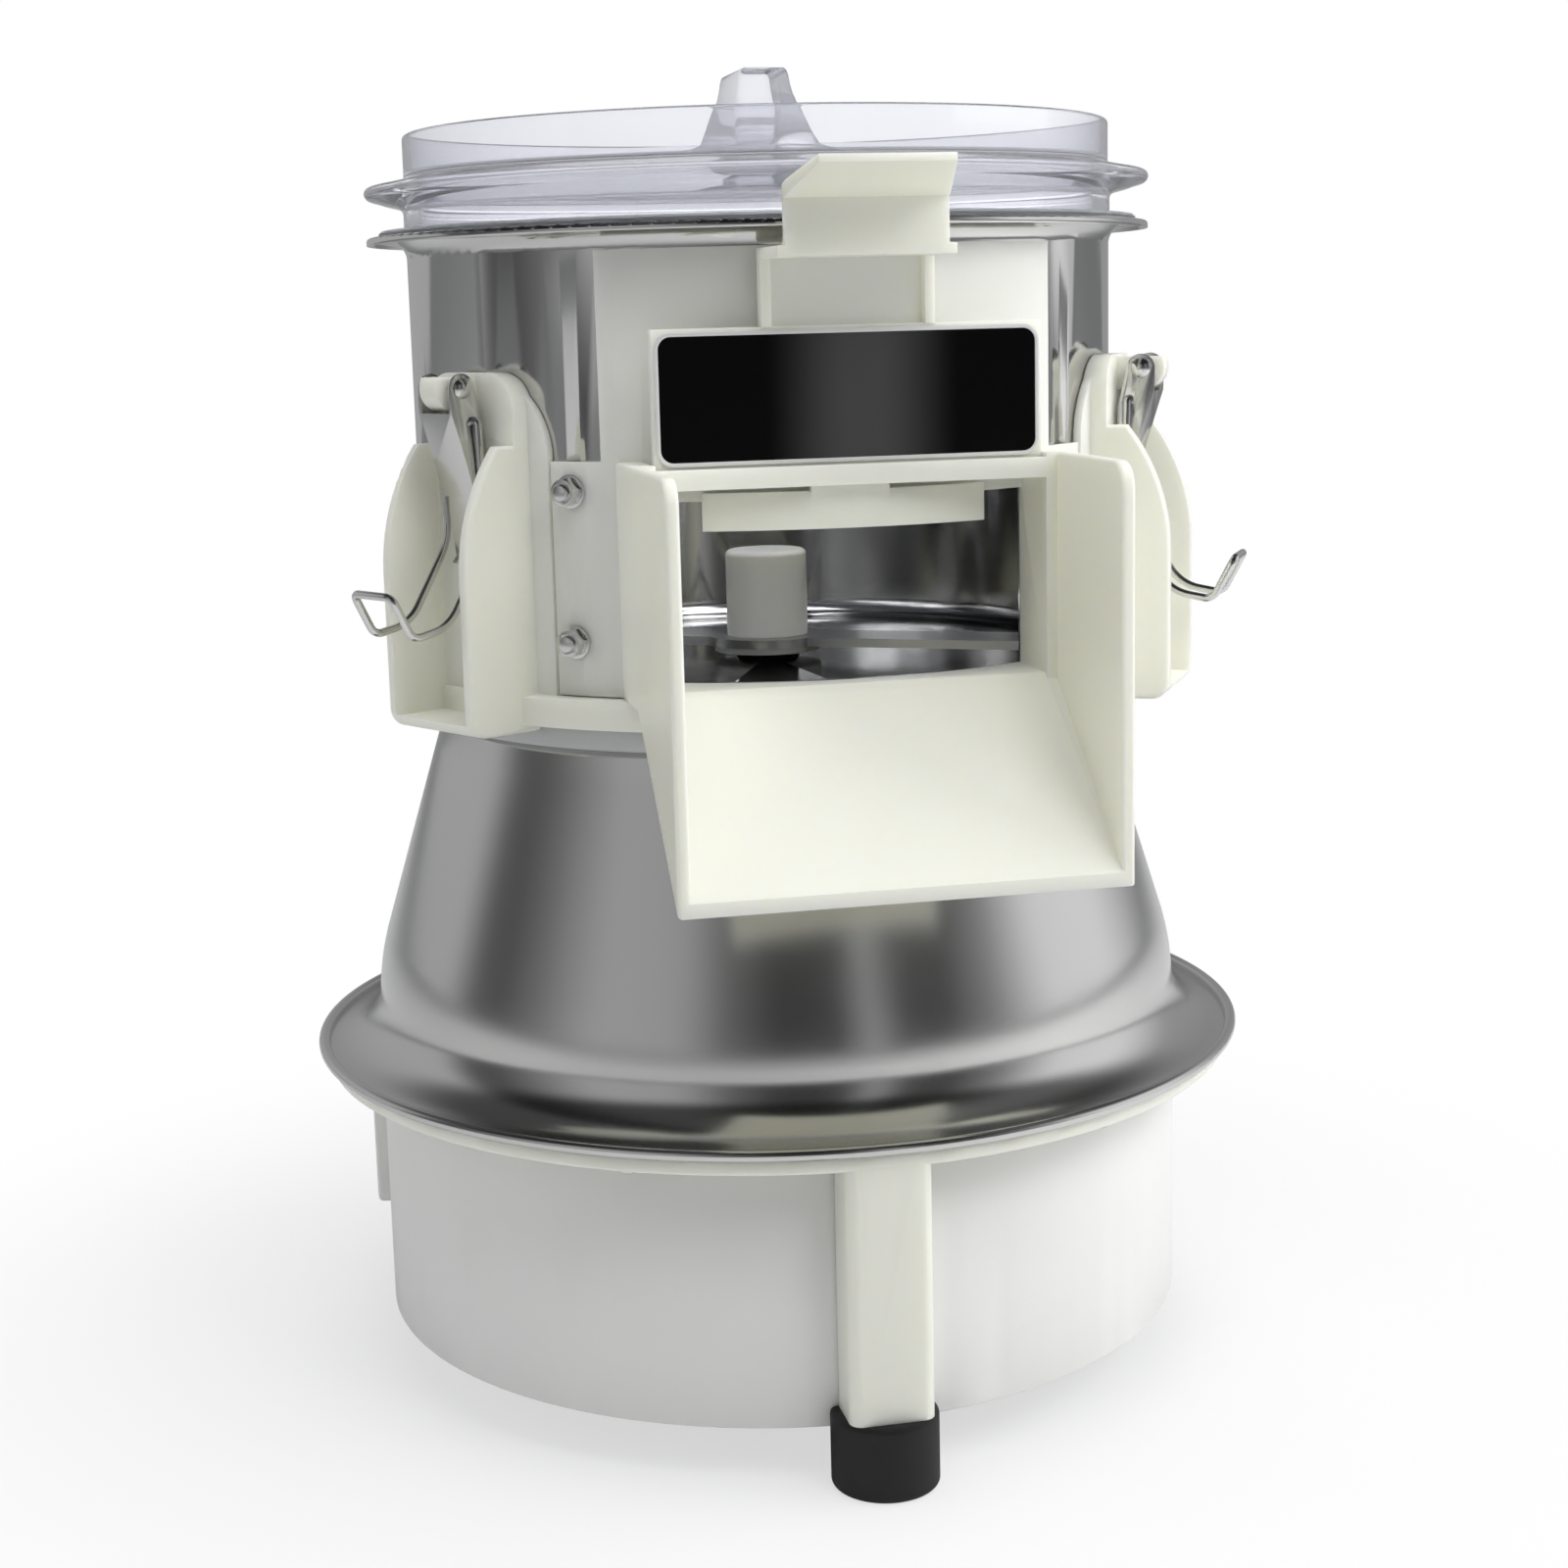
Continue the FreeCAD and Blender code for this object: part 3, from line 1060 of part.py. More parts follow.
# Outlet: saddle bolted to the pot, tall guide panel, side walls, sloping floor, cross bar.
def make_outlet():
    body = sub_part("outlet_housing")
    side = side_sketch(body, "chute_side", [
        ("pot_radius * 0.7", "saddle_bottom"),
        ("ring_radius + 0.8", "saddle_bottom"),
        ("chute_reach", "chute_lip"),
        ("chute_reach", "chute_top - chute_corner", "-(chute_corner)"),
        ("chute_reach - chute_corner", "chute_top"),
        ("pot_radius * 0.7", "chute_top"),
    ])
    centred(feature(body, "Pad", side, "chute_block"), "2 * chute_half")
    drop = "((saddle_bottom - chute_lip) / (chute_reach - ring_radius - 0.8))"
    ramp_low = "(chute_lip + chute_floor * sqrt(1 + (%s) * (%s)))" % (drop, drop)
    ramp_high = "(%s + (chute_reach + 10 - slot_front - bar_thick) * %s)" % (ramp_low, drop)
    step = "(slot_front + bar_thick)"
    room = side_sketch(body, "chute_room", [
        (step, "%s - 10 * %s" % (ramp_high, drop)),
        ("chute_reach + 10", "%s - 10 * %s" % (ramp_low, drop)),
        ("chute_reach + 10", "chute_top + 10"),
        (step, "chute_top + 10"),
    ])
    centred(feature(body, "Pocket", room, "chute_hollow"), "2 * (chute_half - chute_wall)")
    passage = side_sketch(body, "passage_side", [
        ("pot_radius * 0.5", "opening_bottom"),
        ("ring_radius", "opening_bottom"),
        (step + " + 1", "%s - 11 * %s" % (ramp_high, drop)),
        (step + " + 1", "bar_bottom"),
        ("slot_front", "bar_bottom"),
        ("slot_front", "chute_top + 10"),
        ("pot_radius * 0.5", "chute_top + 10"),
    ])
    centred(feature(body, "Pocket", passage, "passage"), "2 * opening_half")
    over = side_sketch(body, "bar_relief", [
        ("slot_front - 1", "bar_top"), (step + " + 1", "bar_top"),
        (step + " + 1", "chute_top + 10"), ("slot_front - 1", "chute_top + 10"),
    ])
    centred(feature(body, "Pocket", over, "bar_step"), "2 * opening_half")
    core = side_sketch(body, "pot_section", [
        ("0", "saddle_bottom - 60"), ("pot_radius + outlet_gap", "saddle_bottom - 60"),
        ("pot_radius + outlet_gap", "panel_top + 20"), ("0", "panel_top + 20"),
    ])
    turned(body, "Groove", core, "pot_space")
    saddle = side_sketch(body, "saddle_section", [
        ("pot_radius + outlet_gap", "saddle_bottom"),
        ("pot_radius + outlet_gap + saddle_wall", "saddle_bottom"),
        ("pot_radius + outlet_gap + saddle_wall", "chute_top"),
        ("pot_radius + outlet_gap", "chute_top"),
    ])
    turned(body, "Revolution", saddle, "saddle", "2 * wing_angle")
    panel = side_sketch(body, "panel_section", [
        ("pot_radius + outlet_gap", "chute_top - 4"),
        ("pot_radius + outlet_gap + saddle_wall", "chute_top - 4"),
        ("pot_radius + outlet_gap + saddle_wall", "panel_top"),
        ("pot_radius + outlet_gap", "panel_top"),
    ])
    turned(body, "Revolution", panel, "panel", "2 * panel_angle")
    cut_front(body, "mouth_section", [
        ("-(opening_half)", "opening_bottom"), ("opening_half", "opening_bottom"),
        ("opening_half", "opening_top"), ("-(opening_half)", "opening_top"),
    ], "slot_front")
    drill_outlet(body, "wing_hole")
    round_edges(body, "mouth_rounding", "1.2", lambda box: (
        box.YMin < -size("chute_reach") + 1e-3 and box.YMax < -size("chute_reach - 12")
        and abs(box.XMax) > size("chute_half - chute_wall") - 1e-3 and box.ZLength > 20
    ))


def outlet_bolt_places():
    angle = size("bolt_angle")
    for azimuth in (-angle, angle):
        for height in (size("bolt_low"), size("bolt_high")):
            yield azimuth, height


def make_outlet_fasteners():
    wall_in = size("pot_radius - sheet_wall")
    wall_out = size("pot_radius + outlet_gap + saddle_wall")
    radius = size("bolt_radius")
    washer = size("washer_thick")
    nut = size("nut_height")
    head_radius = size("bolt_head_radius")
    head_height = size("bolt_head_height")
    bolts = []
    nuts = []
    washers = []
    flat = size("nut_flats")
    corner = flat / math.sqrt(3)
    # A flat head on the pot's round inside is set back by the arc's rise under its rim.
    sag_in = wall_in - math.sqrt(wall_in ** 2 - head_radius ** 2)
    seat_out = wall_out + 0.02
    for azimuth, height in outlet_bolt_places():
        shank = radial_rod(radius, wall_in - sag_in - 1, seat_out + washer + nut + 1.6, height)
        head = radial_rod(head_radius, wall_in - sag_in - head_height, wall_in - sag_in, height)
        rim = [edge for edge in head.Edges if edge.BoundBox.YMin > -(wall_in - sag_in) + 1]
        rim = [edge for edge in rim if edge.BoundBox.YLength < 1e-6]
        head = head.makeFillet(head_height * 0.6, rim)
        bolts.append(spun(head.fuse(shank).removeSplitter(), azimuth))
        ring = radial_rod(size("washer_radius"), seat_out, seat_out + washer, height)
        ring = ring.cut(radial_rod(radius + 0.05, seat_out - 1, seat_out + washer + 1, height))
        washers.append(spun(ring, azimuth))
        hexagon = Part.makePolygon([
            FreeCAD.Vector(
                corner * math.cos(math.radians(60 * k + 12)), -(seat_out + washer),
                height + corner * math.sin(math.radians(60 * k + 12))
            )
            for k in range(7)
        ])
        prism = Part.Face(hexagon).extrude(FreeCAD.Vector(0, -nut, 0))
        bevel = Part.makeCone(
            corner * 1.22, corner * 0.86, nut, FreeCAD.Vector(0, -(seat_out + washer), height),
            FreeCAD.Vector(0, -1, 0)
        )
        prism = prism.common(bevel)
        prism = prism.cut(radial_rod(radius + 0.05, wall_in, seat_out + 20, height))
        nuts.append(spun(prism, azimuth))
    solid_part("outlet_bolts", Part.makeCompound(bolts))
    solid_part("outlet_washers", Part.makeCompound(washers))
    solid_part("outlet_nuts", Part.makeCompound(nuts))


# Gate: plate, curved lower lip, ribbed stem and stepped pull handle in one moulding.
def make_gate():
    body = sub_part("discharge_gate")
    plate = side_sketch(body, "gate_plate_side", [
        ("gate_back", "bar_bottom"), ("gate_back + gate_thick", "bar_bottom"),
        ("gate_back + gate_thick", "gate_top"), ("gate_back", "gate_top"),
    ])
    centred(feature(body, "Pad", plate, "gate_plate"), "2 * gate_half")
    stem = side_sketch(body, "stem_side", [
        ("gate_back", "gate_top - 2"), ("stem_front", "gate_top"),
        ("stem_front", "ledge_top - handle_thick"),
        ("handle_reach", "ledge_top - handle_thick"),
        ("handle_reach", "handle_crease"),
        ("handle_reach - handle_thick", "handle_crease"),
        ("handle_reach - handle_thick", "ledge_top"),
        ("gate_back", "ledge_top"),
    ])
    centred(feature(body, "Pad", stem, "stem"), "2 * stem_half")
    web = side_sketch(body, "web_side", [
        ("gate_back + stem_web", "gate_top"), ("gate_back + 20", "gate_top"),
        ("gate_back + 20", "ledge_top - handle_thick"),
        ("gate_back + stem_web", "ledge_top - handle_thick"),
    ])
    centred(feature(body, "Pocket", web, "web"), "2 * (stem_half - stem_rib)")
    pull = side_sketch(body, "pull_lip_side", [
        ("handle_reach - handle_thick", "handle_crease - 1"),
        ("handle_reach", "handle_crease - handle_thick"),
        ("lip_reach", "lip_rise - handle_thick + 0.8"),
        ("lip_reach", "lip_rise"),
        ("handle_reach - handle_thick", "handle_crease + 0.8"),
    ])
    centred(feature(body, "Pad", pull, "pull_lip"), "2 * handle_half")
    lower = side_sketch(body, "lower_lip_section", [
        ("gate_back", "lip_bottom"), ("gate_back + lip_thick", "lip_bottom"),
        ("gate_back + lip_thick", "bar_bottom - slit_height"),
        ("gate_back", "bar_bottom - slit_height"),
    ])
    turned(body, "Revolution", lower, "lower_lip", "2 * lip_angle")
    tab = side_sketch(body, "lip_tab_side", [
        ("gate_back", "bar_bottom - slit_height - 2"),
        ("gate_back + lip_thick", "bar_bottom - slit_height - 2"),
        ("gate_back + lip_thick", "bar_bottom + 1"), ("gate_back", "bar_bottom + 1"),
    ])
    centred(feature(body, "Pad", tab, "lip_tab"), "2 * tab_half")
    for sign, side in (("", "right"), ("-", "left")):
        trim = cut_front(body, "handle_trim_" + side, [
            (sign + "(handle_half)", "ledge_top"),
            (sign + "(stem_half + 2)", "ledge_top"),
            (sign + "(stem_half + 2)", "lip_rise + 2"),
            (sign + "(handle_half)", "lip_rise + 2"),
        ], "lip_reach + 10")
        taper = plan_sketch(body, "lip_taper_" + side, [
            (sign + "(handle_half)", "-(handle_reach + 1)"),
            (sign + "(lip_half)", "-(lip_reach)"),
            (sign + "(lip_half)", "-(lip_reach + 2)"),
            (sign + "(handle_half + 4)", "-(lip_reach + 2)"),
            (sign + "(handle_half + 4)", "-(handle_reach + 1)"),
        ], "ledge_top")
        extrude(body, "Pocket", taper, "lip_taper_cut_" + side, "40", True)
    round_edges(body, "stem_rounding", "2.5", lambda box: (
        abs(box.ZMax - size("ledge_top")) < 1e-3 and box.ZLength < 1e-3
        and abs(box.YMin + size("handle_reach - handle_thick")) < 1e-3
        and box.YLength < 1e-3
    ))
    return body


def badge_shape(half, low, high, corner, back, thick):
    plate = Part.makeBox(2 * half, thick, high - low, FreeCAD.Vector(-half, -back - thick, low))
    uprights = [edge for edge in plate.Edges if edge.BoundBox.YLength > thick / 2]
    return plate.makeFillet(corner, uprights)


# Name plate: a blank black plate in a bright frame, on the front of the gate.
def make_badge():
    back = size("gate_back + gate_thick") + 0.02
    half = size("badge_half")
    low = size("badge_bottom")
    high = size("badge_top")
    corner = size("badge_corner")
    thick = size("badge_thick")
    frame = 1.2
    whole = badge_shape(half, low, high, corner, back, thick)
    inside = badge_shape(
        half - frame, low + frame, high - frame, corner - frame, back, thick
    )
    face = badge_shape(
        half - frame - 0.02, low + frame + 0.02, high - frame - 0.02,
        corner - frame, back, thick * 0.7
    )
    solid_part("badge_frame", whole.cut(inside))
    solid_part("badge_face", face)


# Lid: clear moulding with a sunk plate, a clamping flange and a flared grip.
def make_lid():
    body = ring_part("lid", [
        ("0", "lid_plate"),
        ("plug_radius - lid_wall", "lid_plate"),
        ("plug_radius - lid_wall", "pot_rim_top - plug_depth"),
        ("plug_radius", "pot_rim_top - plug_depth"),
        ("plug_radius", "pot_rim_top + 2"),
        ("lid_skirt_radius", "pot_rim_top + 2"),
        ("lid_skirt_radius", "lid_flange_bottom - 1.5", "-(1.5)"),
        ("lid_skirt_radius + 1.5", "lid_flange_bottom"),
        ("lid_flange_radius - 2", "lid_flange_bottom", "2"),
        ("lid_flange_radius", "lid_flange_bottom + 2"),
        ("lid_flange_radius", "lid_edge - 1.5", "1.5"),
        ("lid_flange_radius - 1.5", "lid_edge"),
        ("lid_radius + 1.4", "lid_flange_top", "-(1.5)"),
        ("lid_radius", "lid_flange_top + 1.4"),
        ("lid_radius", "lid_top - 1.2", "1.2"),
        ("lid_radius - 1.2", "lid_top"),
        ("lid_radius - lid_wall", "lid_top"),
        ("lid_radius - lid_wall", "lid_plate + lid_wall + 2", "-(2)"),
        ("lid_radius - lid_wall - 2", "lid_plate + lid_wall"),
        ("0", "lid_plate + lid_wall"),
    ])
    levels = [
        ("knob_foot_half", "lid_plate + lid_wall - 0.5"),
        ("knob_low_half", "knob_low_height"),
        ("knob_mid_half", "knob_mid_height"),
        ("knob_top_half", "knob_top"),
    ]
    sections = []
    for index, (half, height) in enumerate(levels):
        across = "(%s)" % half
        along = "(%s + knob_length)" % half
        sketch = drawing(body, "grip_section_%d" % index, "XY_Plane", height)
        outline(sketch, [
            ("-(%s)" % across, "-(%s - knob_corner)" % along, "knob_corner"),
            ("-(%s - knob_corner)" % across, "-(%s)" % along),
            ("%s - knob_corner" % across, "-(%s)" % along, "knob_corner"),
            (across, "-(%s - knob_corner)" % along),
            (across, "%s - knob_corner" % along, "knob_corner"),
            ("%s - knob_corner" % across, along),
            ("-(%s - knob_corner)" % across, along, "knob_corner"),
            ("-(%s)" % across, "%s - knob_corner" % along),
        ])
        sections.append(sketch)
    grip = body.newObject("PartDesign::AdditiveLoft", "grip")
    grip.Profile = sections[0]
    grip.Sections = sections[1:]
    for sketch in sections:
        sketch.Visibility = False
    round_edges(body, "grip_rounding", "1.6", lambda box: (
        box.ZLength < 1e-3 and abs(box.ZMax - size("knob_top")) < 1e-3
    ))
    ring_part("lid_gasket", [
        ("plug_radius + seat_gap", "pot_rim_top + seat_gap"),
        ("gasket_reach - 0.8", "pot_rim_top + seat_gap"),
        ("gasket_reach", "pot_rim_top + 1.2"),
        ("gasket_reach - 0.8", "pot_rim_top + 2"),
        ("plug_radius + seat_gap", "pot_rim_top + 2"),
    ])


# Rotor: hub and blade; the blade is one strip with both ends turned up.
def make_rotor():
    hub = ring_part("rotor_hub", [
        ("shaft_radius + fit_gap", "hub_bottom"),
        ("hub_foot_radius", "hub_bottom"),
        ("hub_foot_radius", "hub_bottom + hub_foot_thick"),
        ("hub_radius", "hub_bottom + hub_foot_thick"),
        ("hub_radius", "hub_top - 2", "2"),
        ("hub_radius - 2", "hub_top"),
        ("0", "hub_top"),
        ("0", "hub_top - 3.6"),
        ("shaft_radius + fit_gap", "hub_top - 3.6"),
    ])
    turn(hub, "blade_angle")
    body = sub_part("rotor_blade")
    low = "(hub_bottom + hub_foot_thick + 0.02)"
    sides = []
    for sign in ("", "-"):
        tip = sign + "(blade_reach"
        sides.append([
            (tip + " - blade_bend)", low),
            (tip + ")", low + " + blade_bend"),
            (tip + ")", "blade_tip"),
            (tip + " - blade_thick)", "blade_tip"),
            (tip + " - blade_thick)", low + " + blade_bend"),
            (tip + " - blade_bend)", low + " + blade_thick"),
        ])
    right, left = sides
    left = list(reversed(left))
    right[0] += ("blade_bend",)
    right[4] += ("-(blade_bend - blade_thick)",)
    left[0] += ("-(blade_bend - blade_thick)",)
    left[4] += ("blade_bend",)
    sketch = drawing(body, "blade_side", "YZ_Plane")
    outline(sketch, right + left)
    centred(feature(body, "Pad", sketch, "blade_strip"), "blade_width")
    middle = drawing(body, "blade_middle_section", "XY_Plane", low)
    circle(middle, "0", "0", "blade_middle")
    extrude(body, "Pad", middle, "blade_middle_pad", "blade_thick")
    bore = drawing(body, "blade_bore_section", "XY_Plane", low + " - 1")
    circle(bore, "0", "0", "hub_radius + fit_gap")
    extrude(body, "Pocket", bore, "blade_bore", "blade_thick + 2", True)
    for sign, side in (("", "right"), ("-", "left")):
        trim = drawing(body, "tip_taper_" + side, "XZ_Plane")
        outline(trim, [
            (sign + "(blade_width / 2)", low + " + blade_bend"),
            (sign + "(blade_width / 2 + 3)", low + " + blade_bend"),
            (sign + "(blade_width / 2 + 3)", "blade_tip + 1"),
            (sign + "(blade_tip_half)", "blade_tip + 1"),
        ])
        cut = feature(body, "Pocket", trim, "tip_taper_cut_" + side)
        centred(cut, "2 * blade_reach + 10")
    turn(body, "blade_angle")


# Switch: a pod on the drum with a rocker on its own axle.
def make_switch():
    half = size("switch_half")
    low = size("switch_bottom")
    high = size("switch_top")
    drum = size("drum_radius")
    proud = size("switch_proud")
    bezel = Part.makeBox(
        2 * half, proud + 12, high - low, FreeCAD.Vector(-half, -(drum + proud), low)
    )
    upright = [
        edge for edge in bezel.Edges
        if edge.BoundBox.YLength > 5 and edge.BoundBox.ZLength < 1e-6
    ]
    bezel = bezel.makeFillet(half * 0.35, upright)
    front = [
        edge for edge in bezel.Edges
        if edge.BoundBox.YMax < -(drum + proud) + 1e-6
    ]
    bezel = bezel.makeFillet(1.4, front)
    bezel = bezel.cut(Part.makeCylinder(drum + 0.02, high + half))
    inset = 2.3
    cavity_back = drum + proud + 1 - 20
    neck = Part.makeBox(
        2 * (half - inset), drum + 1.5 - cavity_back, high - low - 2 * inset,
        FreeCAD.Vector(-(half - inset), -(drum + 1), low + inset)
    )
    middle = (low + high) / 2
    room = size("rocker_length") / 2 + 1.5
    gap = size("rocker_half") + 0.4
    cavity = Part.makeBox(
        2 * gap, 20, 2 * room, FreeCAD.Vector(-gap, -(drum + proud + 1), middle - room)
    )
    neck = neck.common(Part.makeCylinder(drum + 2, high + half))
    box_back = Part.makeBox(
        2 * (gap + 2.5), 3, 2 * (room + 2.5),
        FreeCAD.Vector(-(gap + 2.5), -cavity_back - 0.01, middle - room - 2.5)
    )
    pivot = size("rocker_reach")
    axle = Part.makeCylinder(
        1.55, 2 * gap + 2.6, FreeCAD.Vector(-(gap + 1.3), -pivot, middle),
        FreeCAD.Vector(1, 0, 0)
    )
    pod = bezel.fuse([neck, box_back]).cut(cavity).cut(axle).removeSplitter()
    item = solid_part("switch_pod", pod)
    turn(item, "switch_angle")

    length = size("rocker_length") / 2
    face = size("rocker_face")
    profile = [
        (pivot + face, -length), (pivot + face - 1.6, 0), (pivot + face, length),
        (pivot, length), (pivot - 4.5, 4), (pivot - 4.5, -4), (pivot, -length),
    ]
    wire = Part.makePolygon([
        FreeCAD.Vector(0, -out, middle + up) for out, up in profile + profile[:1]
    ])
    width = size("rocker_half")
    rocker = Part.Face(wire).extrude(FreeCAD.Vector(2 * width, 0, 0))
    rocker.translate(FreeCAD.Vector(-width, 0, 0))
    pin = Part.makeCylinder(
        1.5, 2 * width + 3, FreeCAD.Vector(-(width + 1.5), -pivot, middle),
        FreeCAD.Vector(1, 0, 0)
    )
    rocker = rocker.fuse(pin).removeSplitter()
    rocker.rotate(
        FreeCAD.Vector(0, -pivot, middle), FreeCAD.Vector(1, 0, 0), size("rocker_tilt")
    )
    item = solid_part("switch_rocker", rocker)
    turn(item, "switch_angle")


# Cable inlet at the back; the cord itself is not part of this model.
def make_inlet():
    drum = size("drum_radius")
    height = size("gland_height")
    neck = radial_rod(size("gland_neck"), drum - 14, drum + 4, height)
    outer = radial_rod(size("gland_radius"), drum - 1, drum + 6, height)
    outer = outer.cut(Part.makeCylinder(drum + 0.02, 2 * height))
    cone = Part.makeCone(
        size("gland_radius") * 0.85, size("gland_bore") * 1.5, 8,
        FreeCAD.Vector(0, -(drum + 5.5), height), FreeCAD.Vector(0, -1, 0)
    )
    wall = size("drum_wall")
    lock = radial_rod(size("gland_radius"), drum - wall - 4.5, drum - wall - 0.6, height)
    bore = radial_rod(size("gland_bore"), drum - 20, drum + 20, height)
    inlet = neck.fuse([outer, cone, lock]).cut(bore).removeSplitter()
    item = solid_part("cable_inlet", inlet)
    turn(item, "gland_angle")


make_base_frame()
make_feet()
make_drum()
make_bottom_cover()
make_flange_screws()
make_dome()
make_drive()
make_pot()
make_neck_ring()
make_clamp_ring()
for side, azimuth in LATCHES.items():
    make_latch_pin(side, azimuth)
    make_lever(side, azimuth)
    make_bail(side, azimuth)
make_outlet()
make_outlet_fasteners()
make_gate()
make_badge()
make_lid()
make_rotor()
make_switch()
make_inlet()
doc.recompute()

for item in doc.Objects:
    if "Invalid" in item.State or "Error" in item.State:
        raise RuntimeError("%s did not compute: %s" % (item.Label, item.State))
for item in NODES:
    if item.Shape.isNull() or not item.Shape.isValid():
        raise RuntimeError("%s has no valid shape" % item.Label)
    item.Shape.exportStep("parts/%s.step" % item.Label)
    box = item.Shape.BoundBox
    print("%-18s solids %d  volume %9.0f  x %7.1f %7.1f  y %7.1f %7.1f  z %6.1f %6.1f" % (
        item.Label, len(item.Shape.Solids), item.Shape.Volume,
        box.XMin, box.XMax, box.YMin, box.YMax, box.ZMin, box.ZMax
    ))
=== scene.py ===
import json
import math

import bpy
from mathutils import Matrix, Vector


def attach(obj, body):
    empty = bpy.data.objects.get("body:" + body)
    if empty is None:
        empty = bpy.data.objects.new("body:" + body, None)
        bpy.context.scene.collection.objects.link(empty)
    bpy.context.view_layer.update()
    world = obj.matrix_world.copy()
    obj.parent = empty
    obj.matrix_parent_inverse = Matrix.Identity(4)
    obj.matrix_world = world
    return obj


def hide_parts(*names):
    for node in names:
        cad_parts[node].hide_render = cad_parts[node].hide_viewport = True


bl_info = {
    "name": "Chicken Shredder",
    "version": (1, 0, 0),
    "blender": (4, 5, 0),
    "location": "View3D > Sidebar > Shredder",
    "description": "Dresses the packed chicken shredder for a studio picture",
    "category": "Object",
}

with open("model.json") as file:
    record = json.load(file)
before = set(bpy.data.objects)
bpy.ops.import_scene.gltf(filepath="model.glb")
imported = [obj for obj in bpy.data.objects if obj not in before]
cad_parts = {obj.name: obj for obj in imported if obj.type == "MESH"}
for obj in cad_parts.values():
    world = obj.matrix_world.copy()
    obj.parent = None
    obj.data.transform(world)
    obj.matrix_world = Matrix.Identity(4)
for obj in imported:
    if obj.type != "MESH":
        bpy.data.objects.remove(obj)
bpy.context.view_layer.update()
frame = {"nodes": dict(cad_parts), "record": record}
MM = 0.001


class ShredderSizes(bpy.types.PropertyGroup):
    """Sizes of the pieces that are modelled here, and of the picture"""

    segments: bpy.props.IntProperty(
        name="Segments", description="Steps round a spun piece", default=192, min=24
    )
    edge: bpy.props.FloatProperty(
        name="Moulded edge", description="Rounding of the plastic mouldings' edges",
        default=0.0007, unit="LENGTH"
    )
    plate_edge: bpy.props.FloatProperty(
        name="Pressed edge", description="Rounding of pressed metal edges",
        default=0.0002, unit="LENGTH"
    )
    camera_distance: bpy.props.FloatProperty(
        name="Camera distance", description="From the machine's axis, level",
        default=0.87374, unit="LENGTH"
    )
    camera_height: bpy.props.FloatProperty(
        name="Camera height", description="Above the floor", default=0.360, unit="LENGTH"
    )
    camera_azimuth: bpy.props.FloatProperty(
        name="Camera azimuth", description="Round from the chute",
        default=math.radians(-12), subtype="ANGLE"
    )
    camera_pitch: bpy.props.FloatProperty(
        name="Camera pitch", description="Downwards", default=math.radians(10.68),
        subtype="ANGLE"
    )
    camera_yaw: bpy.props.FloatProperty(
        name="Camera yaw", description="To the right", default=math.radians(0.29),
        subtype="ANGLE"
    )
    camera_roll: bpy.props.FloatProperty(
        name="Camera roll", description="Tilt of the picture", default=math.radians(-1.41),
        subtype="ANGLE"
    )
    lens: bpy.props.FloatProperty(
        name="Lens", description="Focal length in millimetres", default=57.825
    )


def shade(name, label, default):
    return bpy.props.FloatVectorProperty(
        name=name, description=label, default=default, subtype="COLOR", size=3, min=0, max=1
    )


class ShredderColours(bpy.types.PropertyGroup):
    """Colours of the finishes"""

    cream: shade("Cream", "Moulded legs, towers, chute and gate", (0.84, 0.84, 0.758))
    cool_white: shade("Cool white", "Skirt drum", (0.80, 0.803, 0.785))
    grey: shade("Grey", "Neck ring and cable inlet", (0.52, 0.53, 0.53))
    clear: shade("Clear", "Lid", (0.93, 0.935, 0.975))
    steel: shade("Steel", "Pot and dome", (0.60, 0.60, 0.59))
    plated: shade("Plated", "Latches and fasteners", (0.66, 0.66, 0.65))
    rubber: shade("Rubber", "Feet", (0.012, 0.012, 0.012))
    plate: shade("Name plate", "Blank black plate", (0.0008, 0.0008, 0.0009))
    floor: shade("Floor", "Studio floor", (0.83, 0.83, 0.83))


# Finishes
def new_material(name):
    material = bpy.data.materials.new(name)
    material.use_nodes = True
    nodes = material.node_tree.nodes
    nodes.clear()
    shader = nodes.new("ShaderNodeBsdfPrincipled")
    output = nodes.new("ShaderNodeOutputMaterial")
    shader.location = (0, 0)
    output.location = (320, 0)
    material.node_tree.links.new(shader.outputs["BSDF"], output.inputs["Surface"])
    return material, shader


def set_values(node, values):
    for name, value in values.items():
        node.inputs[name].default_value = value


def worked(tree, operation, *values):
    # A Math node fed by other nodes' outputs or by plain numbers.
    node = tree.nodes.new("ShaderNodeMath")
    node.operation = operation
    for socket, value in zip(node.inputs, values):
        if isinstance(value, (int, float)):
            socket.default_value = value
        else:
            tree.links.new(value, socket)
    return node.outputs[0]


def eased(tree, value, start, end, low, high):
    # Goes smoothly from low to high while the value goes from start to end.
    node = tree.nodes.new("ShaderNodeMapRange")
    node.interpolation_type = "SMOOTHSTEP"
    set_values(node, {
        "From Min": start, "From Max": end, "To Min": low, "To Max": high,
    })
    tree.links.new(value, node.inputs["Value"])
    return node.outputs["Result"]


def blended(tree, share, first, second):
    # A colour between two others.
    node = tree.nodes.new("ShaderNodeMix")
    node.data_type = "RGBA"
    set_values(node, {"A": (*first, 1), "B": (*second, 1)})
    tree.links.new(share, node.inputs["Factor"])
    return node.outputs["Result"]


def mixed(tree, share, first, second):
    # A shader between two others.
    node = tree.nodes.new("ShaderNodeMixShader")
    for socket, value in zip(node.inputs, (share, first, second)):
        tree.links.new(value, socket)
    return node.outputs[0]


def scaled(tree, colour, share):
    # A colour made brighter or darker.
    node = tree.nodes.new("ShaderNodeVectorMath")
    node.operation = "SCALE"
    tree.links.new(colour, node.inputs[0])
    tree.links.new(share, node.inputs["Scale"])
    return node.outputs[0]


